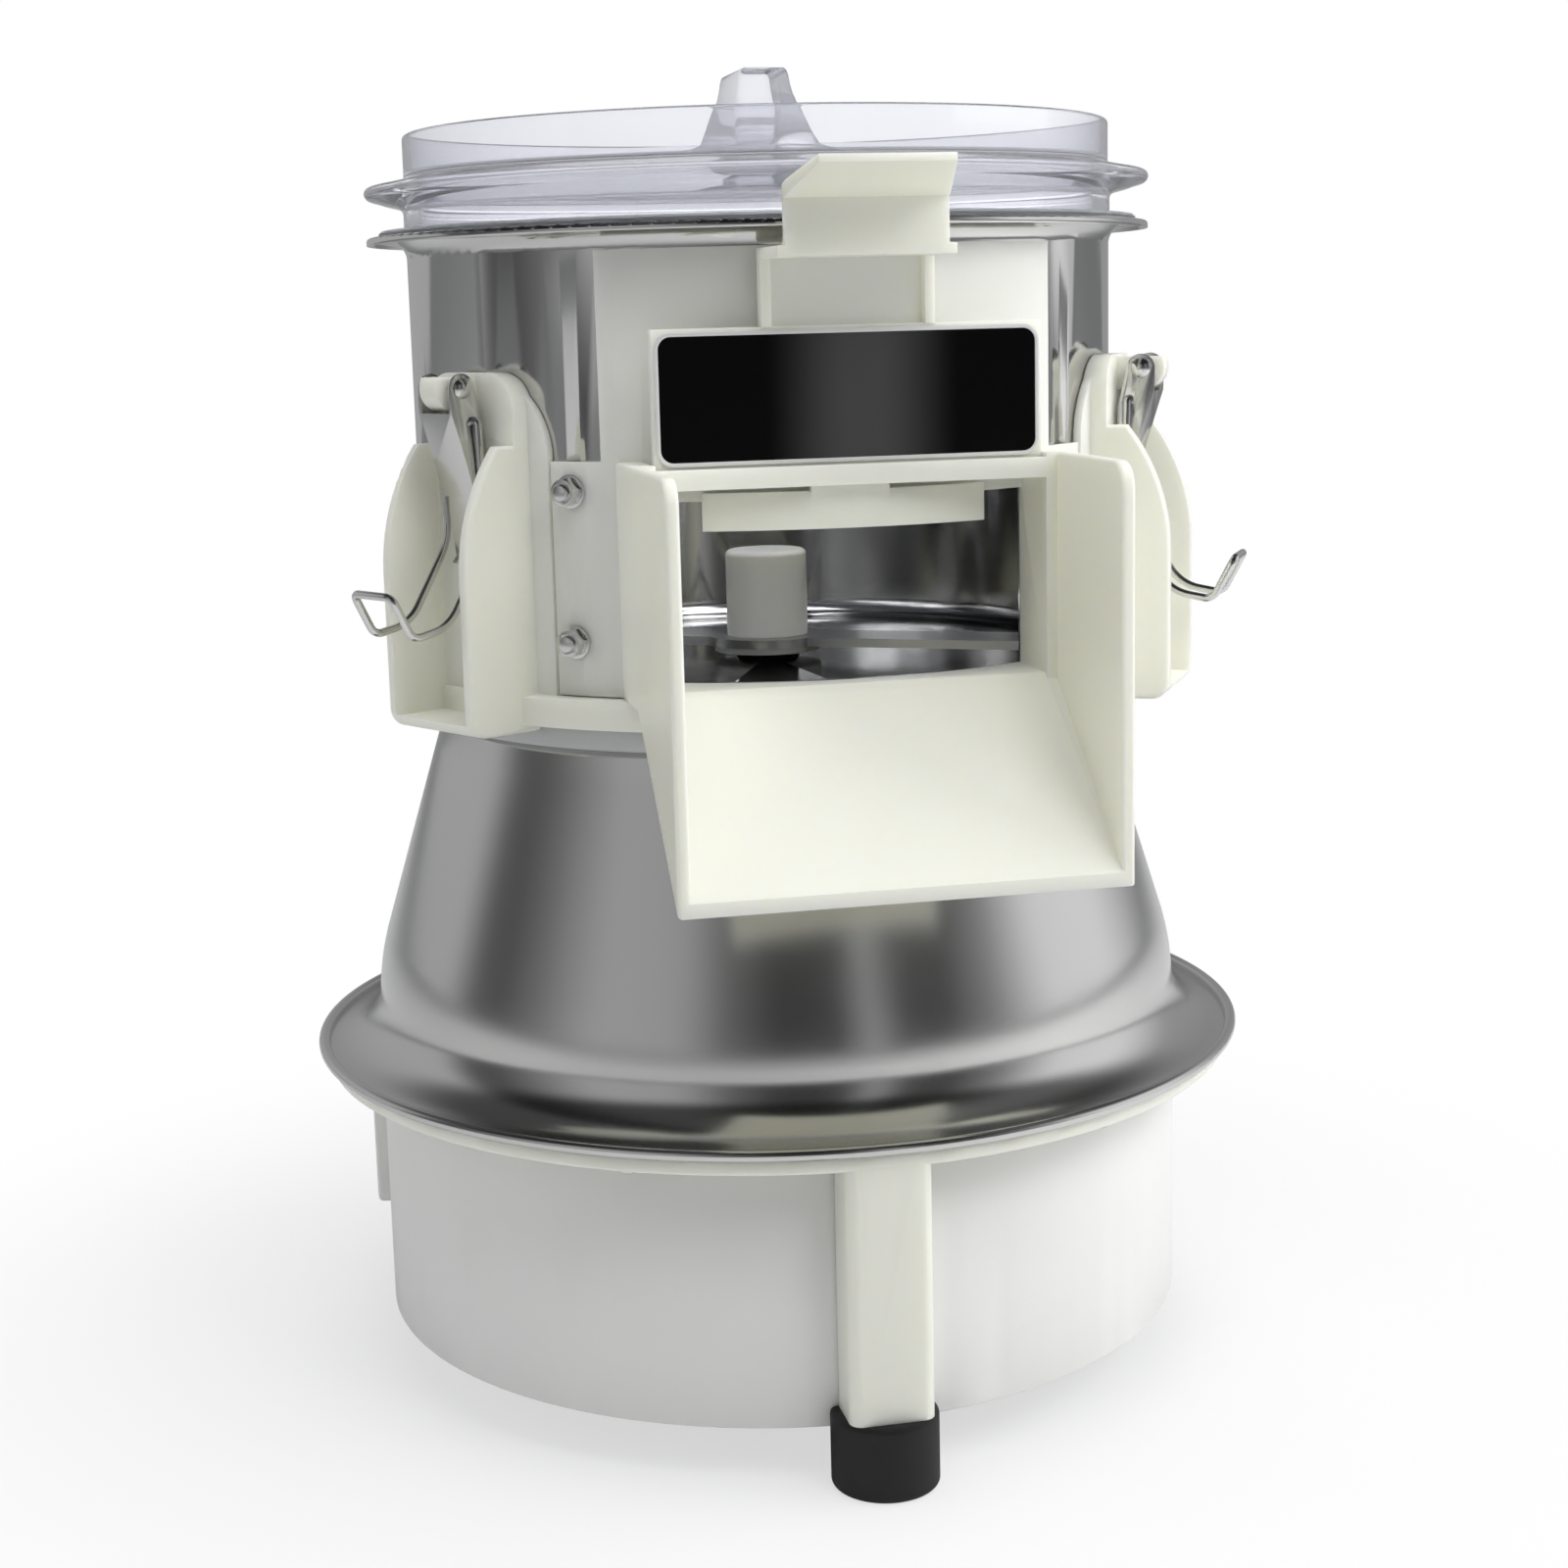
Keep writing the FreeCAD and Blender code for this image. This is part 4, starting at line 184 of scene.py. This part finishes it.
def surface_grain():
    # Fine, uneven surface: a colour drift, a roughness drift and a height.
    group = bpy.data.node_groups.new("surface_grain", "ShaderNodeTree")
    face = group.interface
    face.new_socket("Colour", in_out="INPUT", socket_type="NodeSocketColor")
    for name, value in (
        ("Drift", 0.04), ("Roughness", 0.4), ("Roughness Drift", 0.05),
        ("Cloud Scale", 30.0), ("Grain Scale", 900.0),
    ):
        socket = face.new_socket(name, in_out="INPUT", socket_type="NodeSocketFloat")
        socket.default_value = value
    face.new_socket("Colour", in_out="OUTPUT", socket_type="NodeSocketColor")
    face.new_socket("Roughness", in_out="OUTPUT", socket_type="NodeSocketFloat")
    face.new_socket("Height", in_out="OUTPUT", socket_type="NodeSocketFloat")
    link = group.links.new
    source = group.nodes.new("NodeGroupInput").outputs
    result = group.nodes.new("NodeGroupOutput").inputs
    place = group.nodes.new("ShaderNodeTexCoord")
    noise = {}
    for name, detail in (("Cloud", 4), ("Grain", 2)):
        noise[name] = group.nodes.new("ShaderNodeTexNoise")
        noise[name].inputs["Detail"].default_value = detail
        link(place.outputs["Object"], noise[name].inputs["Vector"])
        link(source[name + " Scale"], noise[name].inputs["Scale"])
    centred = worked(group, "SUBTRACT", noise["Cloud"].outputs["Fac"], 0.5)
    tint = worked(group, "MULTIPLY_ADD", centred, source["Drift"], 1.0)
    rough = worked(
        group, "MULTIPLY_ADD", centred, source["Roughness Drift"], source["Roughness"]
    )
    link(scaled(group, source["Colour"], tint), result["Colour"])
    link(rough, result["Roughness"])
    link(noise["Grain"].outputs["Fac"], result["Height"])
    return group


def grained(name, colour, roughness, metallic=0.0, drift=0.04, rough_drift=0.05,
            cloud=30.0, bump=0.00002, specular=0.5):
    # Colour and roughness drift a little, and the bump is a height in metres.
    material, shader = new_material(name)
    tree = material.node_tree
    group = tree.nodes.new("ShaderNodeGroup")
    group.node_tree = bpy.data.node_groups.get("surface_grain") or surface_grain()
    group.location = (-500, 0)
    set_values(group, {
        "Colour": (*colour, 1), "Drift": drift, "Roughness": roughness,
        "Roughness Drift": rough_drift, "Cloud Scale": cloud,
    })
    tree.links.new(group.outputs["Colour"], shader.inputs["Base Color"])
    tree.links.new(group.outputs["Roughness"], shader.inputs["Roughness"])
    if bump:
        raised = tree.nodes.new("ShaderNodeBump")
        raised.location = (-250, -250)
        raised.inputs["Distance"].default_value = bump
        tree.links.new(group.outputs["Height"], raised.inputs["Height"])
        tree.links.new(raised.outputs["Normal"], shader.inputs["Normal"])
    set_values(shader, {"Metallic": metallic, "Specular IOR Level": specular})
    return material, shader


def clear_moulding(colour):
    # Thin pale plastic: nearly no bending of light, greyer where it is seen edge on.
    material, shader = new_material("clear_moulding")
    tree = material.node_tree
    facing = tree.nodes.new("ShaderNodeLayerWeight")
    facing.inputs["Blend"].default_value = 0.26
    edge_on = (0.50, 0.51, 0.56)
    tint = blended(tree, facing.outputs["Facing"], colour, edge_on)
    tree.links.new(tint, shader.inputs["Base Color"])
    set_values(shader, {
        "Roughness": 0.04, "IOR": 1.07, "Transmission Weight": 0.86,
        "Coat Weight": 0.55, "Coat Roughness": 0.12,
    })
    return material


def clear_soft_ring():
    material, shader = new_material("clear_soft_ring")
    set_values(shader, {
        "Base Color": (0.80, 0.81, 0.83, 1), "Roughness": 0.35, "IOR": 1.41,
        "Transmission Weight": 0.8,
    })
    return material


def black_plate(colour):
    # Blank black sheet with a soft grey sheen painted down its middle: a reflection drawn
    # into the base colour, lighter towards the middle.
    middle, half_core, half_painted_sheen = 0.004, 0.003, 0.030
    # The grey is the colour of the painted sheen, which stands in for a reflection.
    grey = (0.062, 0.062, 0.062)
    material, shader = new_material("black_plate")
    tree = material.node_tree
    place = tree.nodes.new("ShaderNodeTexCoord")
    parts = tree.nodes.new("ShaderNodeSeparateXYZ")
    tree.links.new(place.outputs["Object"], parts.inputs[0])
    reach = worked(tree, "ABSOLUTE", worked(tree, "SUBTRACT", parts.outputs["X"], middle))
    # Painted sheen: the plate's colour turns grey near its middle and stays black towards its
    # sides.
    painted_sheen = eased(tree, reach, half_core, half_painted_sheen, 1.0, 0.0)
    tree.links.new(blended(tree, painted_sheen, colour, grey), shader.inputs["Base Color"])
    set_values(shader, {"Roughness": 0.3, "Specular IOR Level": 0.12})
    return material


FINISH = {}


def finishes(colours):
    steel = {"metallic": 1.0, "cloud": 18.0, "bump": 0.0}
    table = {
        "cream": ("cream_moulding", colours.cream, 0.34,
                  {"drift": 0.03, "rough_drift": 0.08, "bump": 0.000012}),
        "cool_white": ("cool_white_moulding", colours.cool_white, 0.38,
                       {"drift": 0.03, "bump": 0.000015}),
        "grey": ("grey_moulding", colours.grey, 0.45, {}),
        "rubber": ("black_rubber", colours.rubber, 0.62,
                   {"drift": 0.3, "bump": 0.00003, "specular": 0.35}),
        "black": ("black_moulding", (0.012, 0.012, 0.013), 0.38, {"drift": 0.1}),
        "steel": ("polished_steel", colours.steel, 0.12, {"drift": 0.03, **steel}),
        "dome_steel": ("soft_polished_steel", colours.steel, 0.2,
                       {"rough_drift": 0.08, **steel}),
        "plated": ("bright_plating", colours.plated, 0.2,
                   {"metallic": 1.0, "drift": 0.05, "bump": 0.000008}),
        "blade": ("ground_steel", (0.52, 0.52, 0.51), 0.3,
                  {"metallic": 1.0, "drift": 0.06, "bump": 0.00001}),
        "machined": ("machined_steel", (0.42, 0.42, 0.42), 0.35,
                     {"metallic": 1.0, "drift": 0.05}),
        "motor": ("motor_enamel", (0.03, 0.034, 0.04), 0.4, {"drift": 0.1}),
        "bright_edge": ("bright_edge", (0.80, 0.80, 0.80), 0.4,
                        {"metallic": 0.3, "drift": 0.03, "bump": 0.0}),
    }
    for key, (name, colour, roughness, values) in table.items():
        FINISH[key], shader = grained(name, colour, roughness, **values)
        if key == "cream":
            # Light soaks a few millimetres into the waxy plastic.
            set_values(shader, {
                "Subsurface Weight": 0.5, "Subsurface Radius": (1.0, 0.95, 0.7),
                "Subsurface Scale": 0.006,
            })
    FINISH["plate"] = black_plate(colours.plate)
    FINISH["clear"] = clear_moulding(colours.clear)
    FINISH["clear_soft"] = clear_soft_ring()


NODE_FINISH = {
    "base_frame": "cream", "clamp_ring": "cream", "outlet_housing": "cream",
    "discharge_gate": "cream", "rotor_hub": "cream", "skirt_drum": "cool_white",
    "bottom_cover": "grey", "neck_ring": "grey", "cable_inlet": "grey",
    "foot_front": "rubber", "foot_left": "rubber", "foot_right": "rubber",
    "shaft_seal": "rubber", "dome": "dome_steel", "pot": "steel", "motor": "motor",
    "capacitor": "black", "switch_pod": "cool_white", "switch_rocker": "black",
    "badge_face": "plate", "badge_frame": "bright_edge", "lid": "clear",
    "lid_gasket": "clear_soft", "rotor_blade": "blade", "drive_shaft": "machined",
    "shaft_coupling": "machined", "shaft_bearing": "machined", "motor_plate": "machined",
}


def finish_of(node):
    return FINISH[NODE_FINISH.get(node, "plated")]


def paint(item, material):
    item.data.materials.clear()
    item.data.materials.append(material)
    for face in item.data.polygons:
        face.material_index = 0


# Modelling steps
def deselect():
    if bpy.context.mode != "OBJECT":
        bpy.ops.object.mode_set(mode="OBJECT")
    bpy.ops.object.select_all(action="DESELECT")


def only(item):
    deselect()
    bpy.context.view_layer.objects.active = item
    item.select_set(True)


def settle(item):
    # Place, turn and scale go into the mesh, so the object sits at the origin.
    only(item)
    bpy.ops.object.transform_apply(location=True, rotation=True, scale=True)


def smooth(item, angle):
    only(item)
    bpy.ops.object.shade_smooth_by_angle(angle=math.radians(angle))


def apply(item, modifier):
    only(item)
    bpy.ops.object.modifier_apply(modifier=modifier.name)


def dress(item, node, body):
    paint(item, finish_of(node))
    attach(item, body)
    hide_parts(node)


def body_named(node):
    for body, nodes in frame["record"]["behaviour"]["bodies"].items():
        if node in nodes:
            return body
    raise RuntimeError("no body carries " + node)


def softened(node, width, segments=2):
    # A copy of a solid with its edges rounded, as it comes out of the tool.
    same_place, sharp_from, smooth_below = 0.000002, 32, 40
    source = frame["nodes"][node]
    copy = source.copy()
    copy.data = source.data.copy()
    copy.name = node + "_finished"
    copy.parent = None
    bpy.context.scene.collection.objects.link(copy)
    only(copy)
    bpy.ops.object.mode_set(mode="EDIT")
    bpy.ops.mesh.select_all(action="SELECT")
    bpy.ops.mesh.remove_doubles(threshold=same_place)
    bpy.ops.mesh.dissolve_limited(angle_limit=math.radians(0.6), delimit={"NORMAL"})
    bpy.ops.object.mode_set(mode="OBJECT")
    if width:
        bevel = copy.modifiers.new("edge", "BEVEL")
        bevel.width = width
        bevel.segments = segments
        bevel.limit_method = "ANGLE"
        bevel.angle_limit = math.radians(sharp_from)
        apply(copy, bevel)
    smooth(copy, smooth_below)
    dress(copy, node, body_named(node))


def arc(start, end, centre, steps):
    # Points on an arc about a centre, with the first left out.
    first = math.atan2(start[1] - centre[1], start[0] - centre[0])
    last = math.atan2(end[1] - centre[1], end[0] - centre[0])
    if last - first > math.pi:
        last -= 2 * math.pi
    if first - last > math.pi:
        last += 2 * math.pi
    radius_one = math.hypot(start[0] - centre[0], start[1] - centre[1])
    radius_two = math.hypot(end[0] - centre[0], end[1] - centre[1])
    points = []
    for step in range(1, steps + 1):
        share = step / steps
        angle = first + (last - first) * share
        radius = radius_one + (radius_two - radius_one) * share
        points.append((
            centre[0] + radius * math.cos(angle), centre[1] + radius * math.sin(angle)
        ))
    return points


def spun(name, profile, segments, closed=True):
    # One vertex is extruded along the section and the line is spun round the axis.
    same_place, seam = 0.000001, 0.000005
    deselect()
    start = Vector((profile[0][0] * MM, 0, profile[0][1] * MM))
    bpy.ops.mesh.primitive_plane_add(size=0.001, location=start)
    item = bpy.context.object
    item.name = name
    settle(item)
    bpy.ops.object.mode_set(mode="EDIT")
    bpy.ops.mesh.select_all(action="SELECT")
    bpy.ops.mesh.merge(type="CENTER")
    last = start
    for point in profile[1:] + (profile[:1] if closed else []):
        place = Vector((point[0] * MM, 0, point[1] * MM))
        bpy.ops.mesh.extrude_region_move(TRANSFORM_OT_translate={"value": place - last})
        last = place
    bpy.ops.mesh.select_all(action="SELECT")
    bpy.ops.mesh.remove_doubles(threshold=same_place)
    bpy.ops.mesh.select_all(action="SELECT")
    bpy.ops.mesh.spin(
        steps=segments, angle=2 * math.pi, center=(0, 0, 0), axis=(0, 0, 1), dupli=False
    )
    bpy.ops.mesh.select_all(action="SELECT")
    bpy.ops.mesh.remove_doubles(threshold=seam)
    bpy.ops.mesh.select_all(action="SELECT")
    bpy.ops.mesh.normals_make_consistent(inside=False)
    bpy.ops.object.mode_set(mode="OBJECT")
    smooth(item, 30)
    return item


# Pieces
class SHREDDER_OT_finishes(bpy.types.Operator):
    """Builds the finishes and gives every carried-over piece its own"""

    bl_idname = "shredder.finishes"
    bl_label = "Finishes"

    def execute(self, context):
        finishes(context.scene.shredder_colours)
        for node, item in frame["nodes"].items():
            paint(item, finish_of(node))
        return {"FINISHED"}


class SHREDDER_OT_dome(bpy.types.Operator):
    """Spun steel dome with a rolled rim"""

    bl_idname = "shredder.dome"
    bl_label = "Dome"

    def execute(self, context):
        # Radius and height in millimetres; bead, flare and turn are centres of arcs.
        segments = context.scene.shredder_sizes.segments
        wall = 1.2
        bead = (160.0, 113.3)
        flare = (158.0, 131.1)
        turn = (52.3, 133.6)
        outer = [(158.04, 112.9)]
        outer += arc(outer[-1], (139.8, 130.0), flare, 20)
        outer += arc(outer[-1], (136.5, 150.0), turn, 10)
        for step in range(1, 11):
            outer.append((136.5 - 2.25 * step, 150.0 + 7.3 * step))
        outer += arc(outer[-1], (110.0, 227.0), (110.0, 223.0), 8)
        outer.append((20.1, 227.0))
        inner = [(20.1, 227.0 - wall), (110.0, 227.0 - wall)]
        inner += arc(inner[-1], (114.0 - wall, 223.0), (110.0, 223.0), 6)
        inner += [(136.5 - wall, 150.0)]
        inner += arc(inner[-1], (139.8 - wall, 130.0), turn, 6)
        inner += arc(inner[-1], (158.8, 111.7), flare, 10)
        rim = arc((158.8, 111.7), (162.0, 113.3), bead, 8)
        rim += arc((162.0, 113.3), (160.0, 115.3), bead, 6)
        rim += arc((160.0, 115.3), (158.04, 112.9), bead, 7)[:-1]
        item = spun("dome_shell", outer + inner + rim, segments)
        dress(item, "dome", "machine")
        return {"FINISHED"}


class SHREDDER_OT_lid(bpy.types.Operator):
    """Clear lid with a sunk plate, a clamping flange and a flared grip"""

    bl_idname = "shredder.lid"
    bl_label = "Lid"

    def execute(self, context):
        # Radius and height in millimetres, from the plate's underside round to its top.
        wall = 2.5
        section = [(0.0, 403.0), (115.6 - wall, 403.0), (115.6 - wall, 380.0), (115.6, 380.0)]
        section += [(115.6, 388.0), (118.4, 388.0), (118.4, 393.6)]
        section += arc((118.4, 393.6), (120.6, 395.8), (120.9, 393.3), 5)
        section += [(125.0, 396.9), (128.6, 398.1)]
        section += arc((128.6, 398.1), (131.1, 400.4), (128.7, 400.5), 6)
        section += arc((131.1, 400.4), (129.0, 402.3), (129.1, 400.3), 5)
        section += [(119.4, 404.3)]
        section += arc((119.4, 404.3), (117.8, 406.0), (119.5, 406.0), 5)
        section += [(117.8, 417.6)]
        section += arc((117.8, 417.6), (116.5, 419.0), (116.4, 417.6), 5)
        section += [(115.5, 418.4), (117.8 - wall, 407.6)]
        section += arc((117.8 - wall, 407.6), (113.2, 405.5), (113.2, 407.6), 5)
        section += [(0.0, 405.5)]
        item = spun("lid_shell", section, context.scene.shredder_sizes.segments, False)
        dress(item, "lid", "lid")
        self.grip()
        return {"FINISHED"}

    def grip(self):
        # Height, half width and half length; one plane drawn up through the levels.
        levels = (
            (405.52, 17.4, 49.0), (407.0, 15.6, 45.6), (409.4, 14.4, 41.8),
            (412.0, 13.6, 38.0), (416.0, 12.7, 32.2), (420.0, 12.0, 27.4),
            (424.0, 11.2, 23.6), (427.0, 10.3, 21.2), (430.0, 9.4, 19.6),
            (433.0, 8.8, 18.6), (436.0, 8.4, 18.0), (437.5, 7.9, 17.4),
            (438.2, 6.7, 16.2),
        )
        rounding, sharp_from = 2.2, 50
        deselect()
        bpy.ops.mesh.primitive_plane_add(size=1, location=(0, 0, levels[0][0] * MM))
        item = bpy.context.object
        item.name = "lid_grip"
        item.scale = (2 * levels[0][1] * MM, 2 * levels[0][2] * MM, 1)
        settle(item)
        bpy.ops.object.mode_set(mode="EDIT")
        bpy.ops.mesh.select_mode(type="FACE")
        bpy.ops.mesh.select_all(action="SELECT")
        for below, above in zip(levels, levels[1:]):
            bpy.ops.mesh.extrude_region_move(
                TRANSFORM_OT_translate={"value": (0, 0, (above[0] - below[0]) * MM)}
            )
            bpy.ops.transform.resize(
                value=(above[1] / below[1], above[2] / below[2], 1),
                center_override=(0, 0, above[0] * MM)
            )
        bpy.ops.mesh.select_all(action="SELECT")
        bpy.ops.mesh.normals_make_consistent(inside=False)
        bpy.ops.object.mode_set(mode="OBJECT")
        corners = item.modifiers.new("corners", "BEVEL")
        corners.width = rounding * MM
        corners.segments = 4
        corners.limit_method = "ANGLE"
        corners.angle_limit = math.radians(sharp_from)
        apply(item, corners)
        smooth(item, sharp_from)
        dress(item, "lid", "lid")


class SHREDDER_OT_mouldings(bpy.types.Operator):
    """Cream and white mouldings with rounded edges"""

    bl_idname = "shredder.mouldings"
    bl_label = "Mouldings"

    def execute(self, context):
        edge = context.scene.shredder_sizes.edge
        for node in ("base_frame", "clamp_ring", "outlet_housing", "discharge_gate"):
            softened(node, edge)
        return {"FINISHED"}


# Rounding in metres, steps across it, and the solids that have it.
FINE_EDGES = (
    (0.0002, 1, ("pot", "skirt_drum", "neck_ring")),
    (0.00015, 2, ("outlet_nuts", "foot_front", "foot_left", "foot_right", "badge_frame")),
    (0.0002, 2, ("rotor_hub", "outlet_bolts", "outlet_washers", "shaft_seal")),
)


class SHREDDER_OT_smooth_solids(bpy.types.Operator):
    """Carried-over solids shaded smoothly across their curved faces"""

    bl_idname = "shredder.smooth_solids"
    bl_label = "Smooth solids"

    def execute(self, context):
        for width, segments, nodes in FINE_EDGES:
            for node in nodes:
                softened(node, width, segments)
        for side in ("left", "right", "rear"):
            softened("latch_lever_" + side, context.scene.shredder_sizes.plate_edge)
            softened("latch_pin_" + side, 0)
            softened("latch_bail_" + side, 0)
        return {"FINISHED"}


def turned(one, other, angle):
    # Two square axes turned in their plane, the first towards the second.
    return (
        one * math.cos(angle) + other * math.sin(angle),
        other * math.cos(angle) - one * math.sin(angle),
    )


# Name, place, point aimed at, width and height in metres, power in watts.
LAMPS = (
    ("right", (1.3, -0.4, 0.85), (0, 0, 0.22), 1.2, 1.1, 14.5),
    ("front", (0.55, -1.05, 1.25), (0, -0.1, 0.2), 0.6, 0.6, 5.4),
    ("top", (0.0, -0.42, 1.5), (0, -0.12, 0.2), 0.8, 0.8, 8.5),
    ("left", (-1.4, 0.0, 0.65), (0, 0, 0.2), 1.0, 1.0, 4.2),
    ("back", (0.2, 1.4, 1.0), (0, 0, 0.3), 1.4, 1.0, 5.0),
)

# Brightness of the mirrored room round the machine: degrees from the chute, level.
ROOM = (
    (-180, 0.38), (-150, 0.50), (-118, 0.55), (-106, 0.12), (-96, 0.09), (-84, 0.20),
    (-63, 0.50), (-39, 0.46), (-26, 0.16), (-12, 0.05), (6, 0.06), (14, 0.45), (22, 0.08),
    (36, 0.06), (52, 0.30), (70, 0.95), (96, 1.0), (122, 0.42), (150, 0.34), (180, 0.38),
)


class SHREDDER_OT_stage(bpy.types.Operator):
    """Pale floor and background, soft studio lights and the camera"""

    bl_idname = "shredder.stage"
    bl_label = "Stage"

    def execute(self, context):
        scene = context.scene
        sizes = scene.shredder_sizes
        deselect()
        bpy.ops.mesh.primitive_plane_add(size=8, location=(0, 0, 0))
        floor = bpy.context.object
        floor.name = "studio_floor"
        paint(floor, self.pale_floor(scene.shredder_colours.floor))
        for lamp in LAMPS:
            self.light(*lamp)
        self.world(scene)
        self.camera(scene, sizes)
        scene.view_settings.view_transform = "Standard"
        return {"FINISHED"}

    def pale_floor(self, colour):
        # Shadowed near the machine, and fading into the white background further out.
        near, far, near_share = 0.12, 0.42, 0.62
        material, shader = new_material("studio_floor")
        tree = material.node_tree
        set_values(shader, {"Base Color": (*colour, 1), "Roughness": 0.6})
        place = tree.nodes.new("ShaderNodeTexCoord")
        reach = tree.nodes.new("ShaderNodeVectorMath")
        reach.operation = "LENGTH"
        tree.links.new(place.outputs["Object"], reach.inputs[0])
        fade = eased(tree, reach.outputs["Value"], near, far, near_share, 1.0)
        path = tree.nodes.new("ShaderNodeLightPath")
        seen = worked(tree, "MULTIPLY", path.outputs["Is Camera Ray"], fade)
        white = tree.nodes.new("ShaderNodeEmission")
        output = next(node for node in tree.nodes if node.type == "OUTPUT_MATERIAL")
        surface = mixed(tree, seen, shader.outputs[0], white.outputs[0])
        tree.links.new(surface, output.inputs["Surface"])
        return material

    def light(self, name, place, aim, width, height, power):
        deselect()
        bpy.ops.object.light_add(type="AREA", location=place)
        lamp = bpy.context.object
        lamp.name = "studio_" + name
        lamp.data.shape = "RECTANGLE"
        lamp.data.size = width
        lamp.data.size_y = height
        lamp.data.energy = power
        lamp.visible_glossy = False
        direction = Vector(aim) - Vector(place)
        lamp.rotation_euler = direction.to_track_quat("-Z", "Y").to_euler()

    def world(self, scene):
        # White to the camera and through the lid; metal mirrors a dim room with pale windows.
        world = bpy.data.worlds.new("studio")
        scene.world = world
        world.use_nodes = True
        tree = world.node_tree
        tree.nodes.clear()
        path = tree.nodes.new("ShaderNodeLightPath").outputs
        direct = worked(tree, "LESS_THAN", path["Glossy Depth"], 0.5)
        through = worked(tree, "MULTIPLY", path["Is Transmission Ray"], direct)
        seen = worked(tree, "MAXIMUM", path["Is Camera Ray"], through)
        mirrored = worked(
            tree, "MAXIMUM", path["Is Glossy Ray"], path["Is Transmission Ray"]
        )
        lit = self.backdrop(tree, 0.25, (0.95, 0.97, 1.0))
        white = self.backdrop(tree, 1.0, (1, 1, 1))
        room = self.backdrop(tree, 1.0, (1, 1, 1))
        tree.links.new(self.room(tree), room.inputs["Color"])
        around = mixed(tree, mirrored, lit.outputs[0], room.outputs[0])
        output = tree.nodes.new("ShaderNodeOutputWorld")
        surface = mixed(tree, seen, around, white.outputs[0])
        tree.links.new(surface, output.inputs["Surface"])

    def backdrop(self, tree, strength, colour):
        node = tree.nodes.new("ShaderNodeBackground")
        node.inputs["Strength"].default_value = strength
        node.inputs["Color"].default_value = (*colour, 1)
        return node

    def room(self, tree):
        # The ramp goes round the machine from the back; the room darkens overhead.
        clear_below, dark_above, dark_share = 0.40, 0.68, 0.14
        place = tree.nodes.new("ShaderNodeTexCoord")
        parts = tree.nodes.new("ShaderNodeSeparateXYZ")
        tree.links.new(place.outputs["Generated"], parts.inputs[0])
        front = worked(tree, "MULTIPLY", parts.outputs["Y"], -1)
        bearing = worked(tree, "ARCTAN2", parts.outputs["X"], front)
        share = worked(tree, "MULTIPLY_ADD", bearing, 0.5 / math.pi, 0.5)
        ramp = tree.nodes.new("ShaderNodeValToRGB")
        stops = ramp.color_ramp.elements
        for index, (azimuth, level) in enumerate(ROOM):
            position = azimuth / 360 + 0.5
            if index in (0, len(ROOM) - 1):
                stop = stops[0 if index == 0 else -1]
                stop.position = position
            else:
                stop = stops.new(position)
            stop.color = (level, level, level * 1.015, 1)
        tree.links.new(share, ramp.inputs["Fac"])
        height = eased(
            tree, parts.outputs["Z"], clear_below, dark_above, 1.0, dark_share
        )
        return scaled(tree, ramp.outputs["Color"], height)

    def camera(self, scene, sizes):
        azimuth = sizes.camera_azimuth
        place = Vector((
            math.sin(azimuth) * sizes.camera_distance,
            -math.cos(azimuth) * sizes.camera_distance,
            sizes.camera_height,
        ))
        ahead = Vector((-math.sin(azimuth), math.cos(azimuth), 0))
        across = Vector((math.cos(azimuth), math.sin(azimuth), 0))
        rise = Vector((0, 0, 1))
        ahead, across = turned(ahead, across, sizes.camera_yaw)
        ahead, rise = turned(ahead, rise, -sizes.camera_pitch)
        across, rise = turned(across, rise, sizes.camera_roll)
        deselect()
        bpy.ops.object.camera_add(location=place)
        camera = bpy.context.object
        camera.name = "studio_camera"
        camera.data.sensor_width = 36
        camera.data.sensor_fit = "HORIZONTAL"
        camera.data.lens = sizes.lens
        camera.matrix_world = Matrix((
            (across.x, rise.x, -ahead.x, place.x),
            (across.y, rise.y, -ahead.y, place.y),
            (across.z, rise.z, -ahead.z, place.z),
            (0, 0, 0, 1),
        ))
        scene.camera = camera


PIECES = (
    SHREDDER_OT_finishes,
    SHREDDER_OT_dome,
    SHREDDER_OT_lid,
    SHREDDER_OT_mouldings,
    SHREDDER_OT_smooth_solids,
    SHREDDER_OT_stage,
)


class SHREDDER_PT_panel(bpy.types.Panel):
    """Lists the pieces in the sidebar"""

    bl_idname = "SHREDDER_PT_panel"
    bl_label = "Chicken Shredder"
    bl_space_type = "VIEW_3D"
    bl_region_type = "UI"
    bl_category = "Shredder"

    def draw(self, context):
        for piece in PIECES:
            self.layout.operator(piece.bl_idname)


CLASSES = (ShredderSizes, ShredderColours) + PIECES + (SHREDDER_PT_panel,)


def register():
    for item in CLASSES:
        bpy.utils.register_class(item)
    bpy.types.Scene.shredder_sizes = bpy.props.PointerProperty(type=ShredderSizes)
    bpy.types.Scene.shredder_colours = bpy.props.PointerProperty(type=ShredderColours)


def unregister():
    del bpy.types.Scene.shredder_colours
    del bpy.types.Scene.shredder_sizes
    for item in reversed(CLASSES):
        bpy.utils.unregister_class(item)


def main():
    register()
    for piece in PIECES:
        group, action = piece.bl_idname.split(".")
        getattr(getattr(bpy.ops, group), action)()
    deselect()


if __name__ == "__main__":
    main()
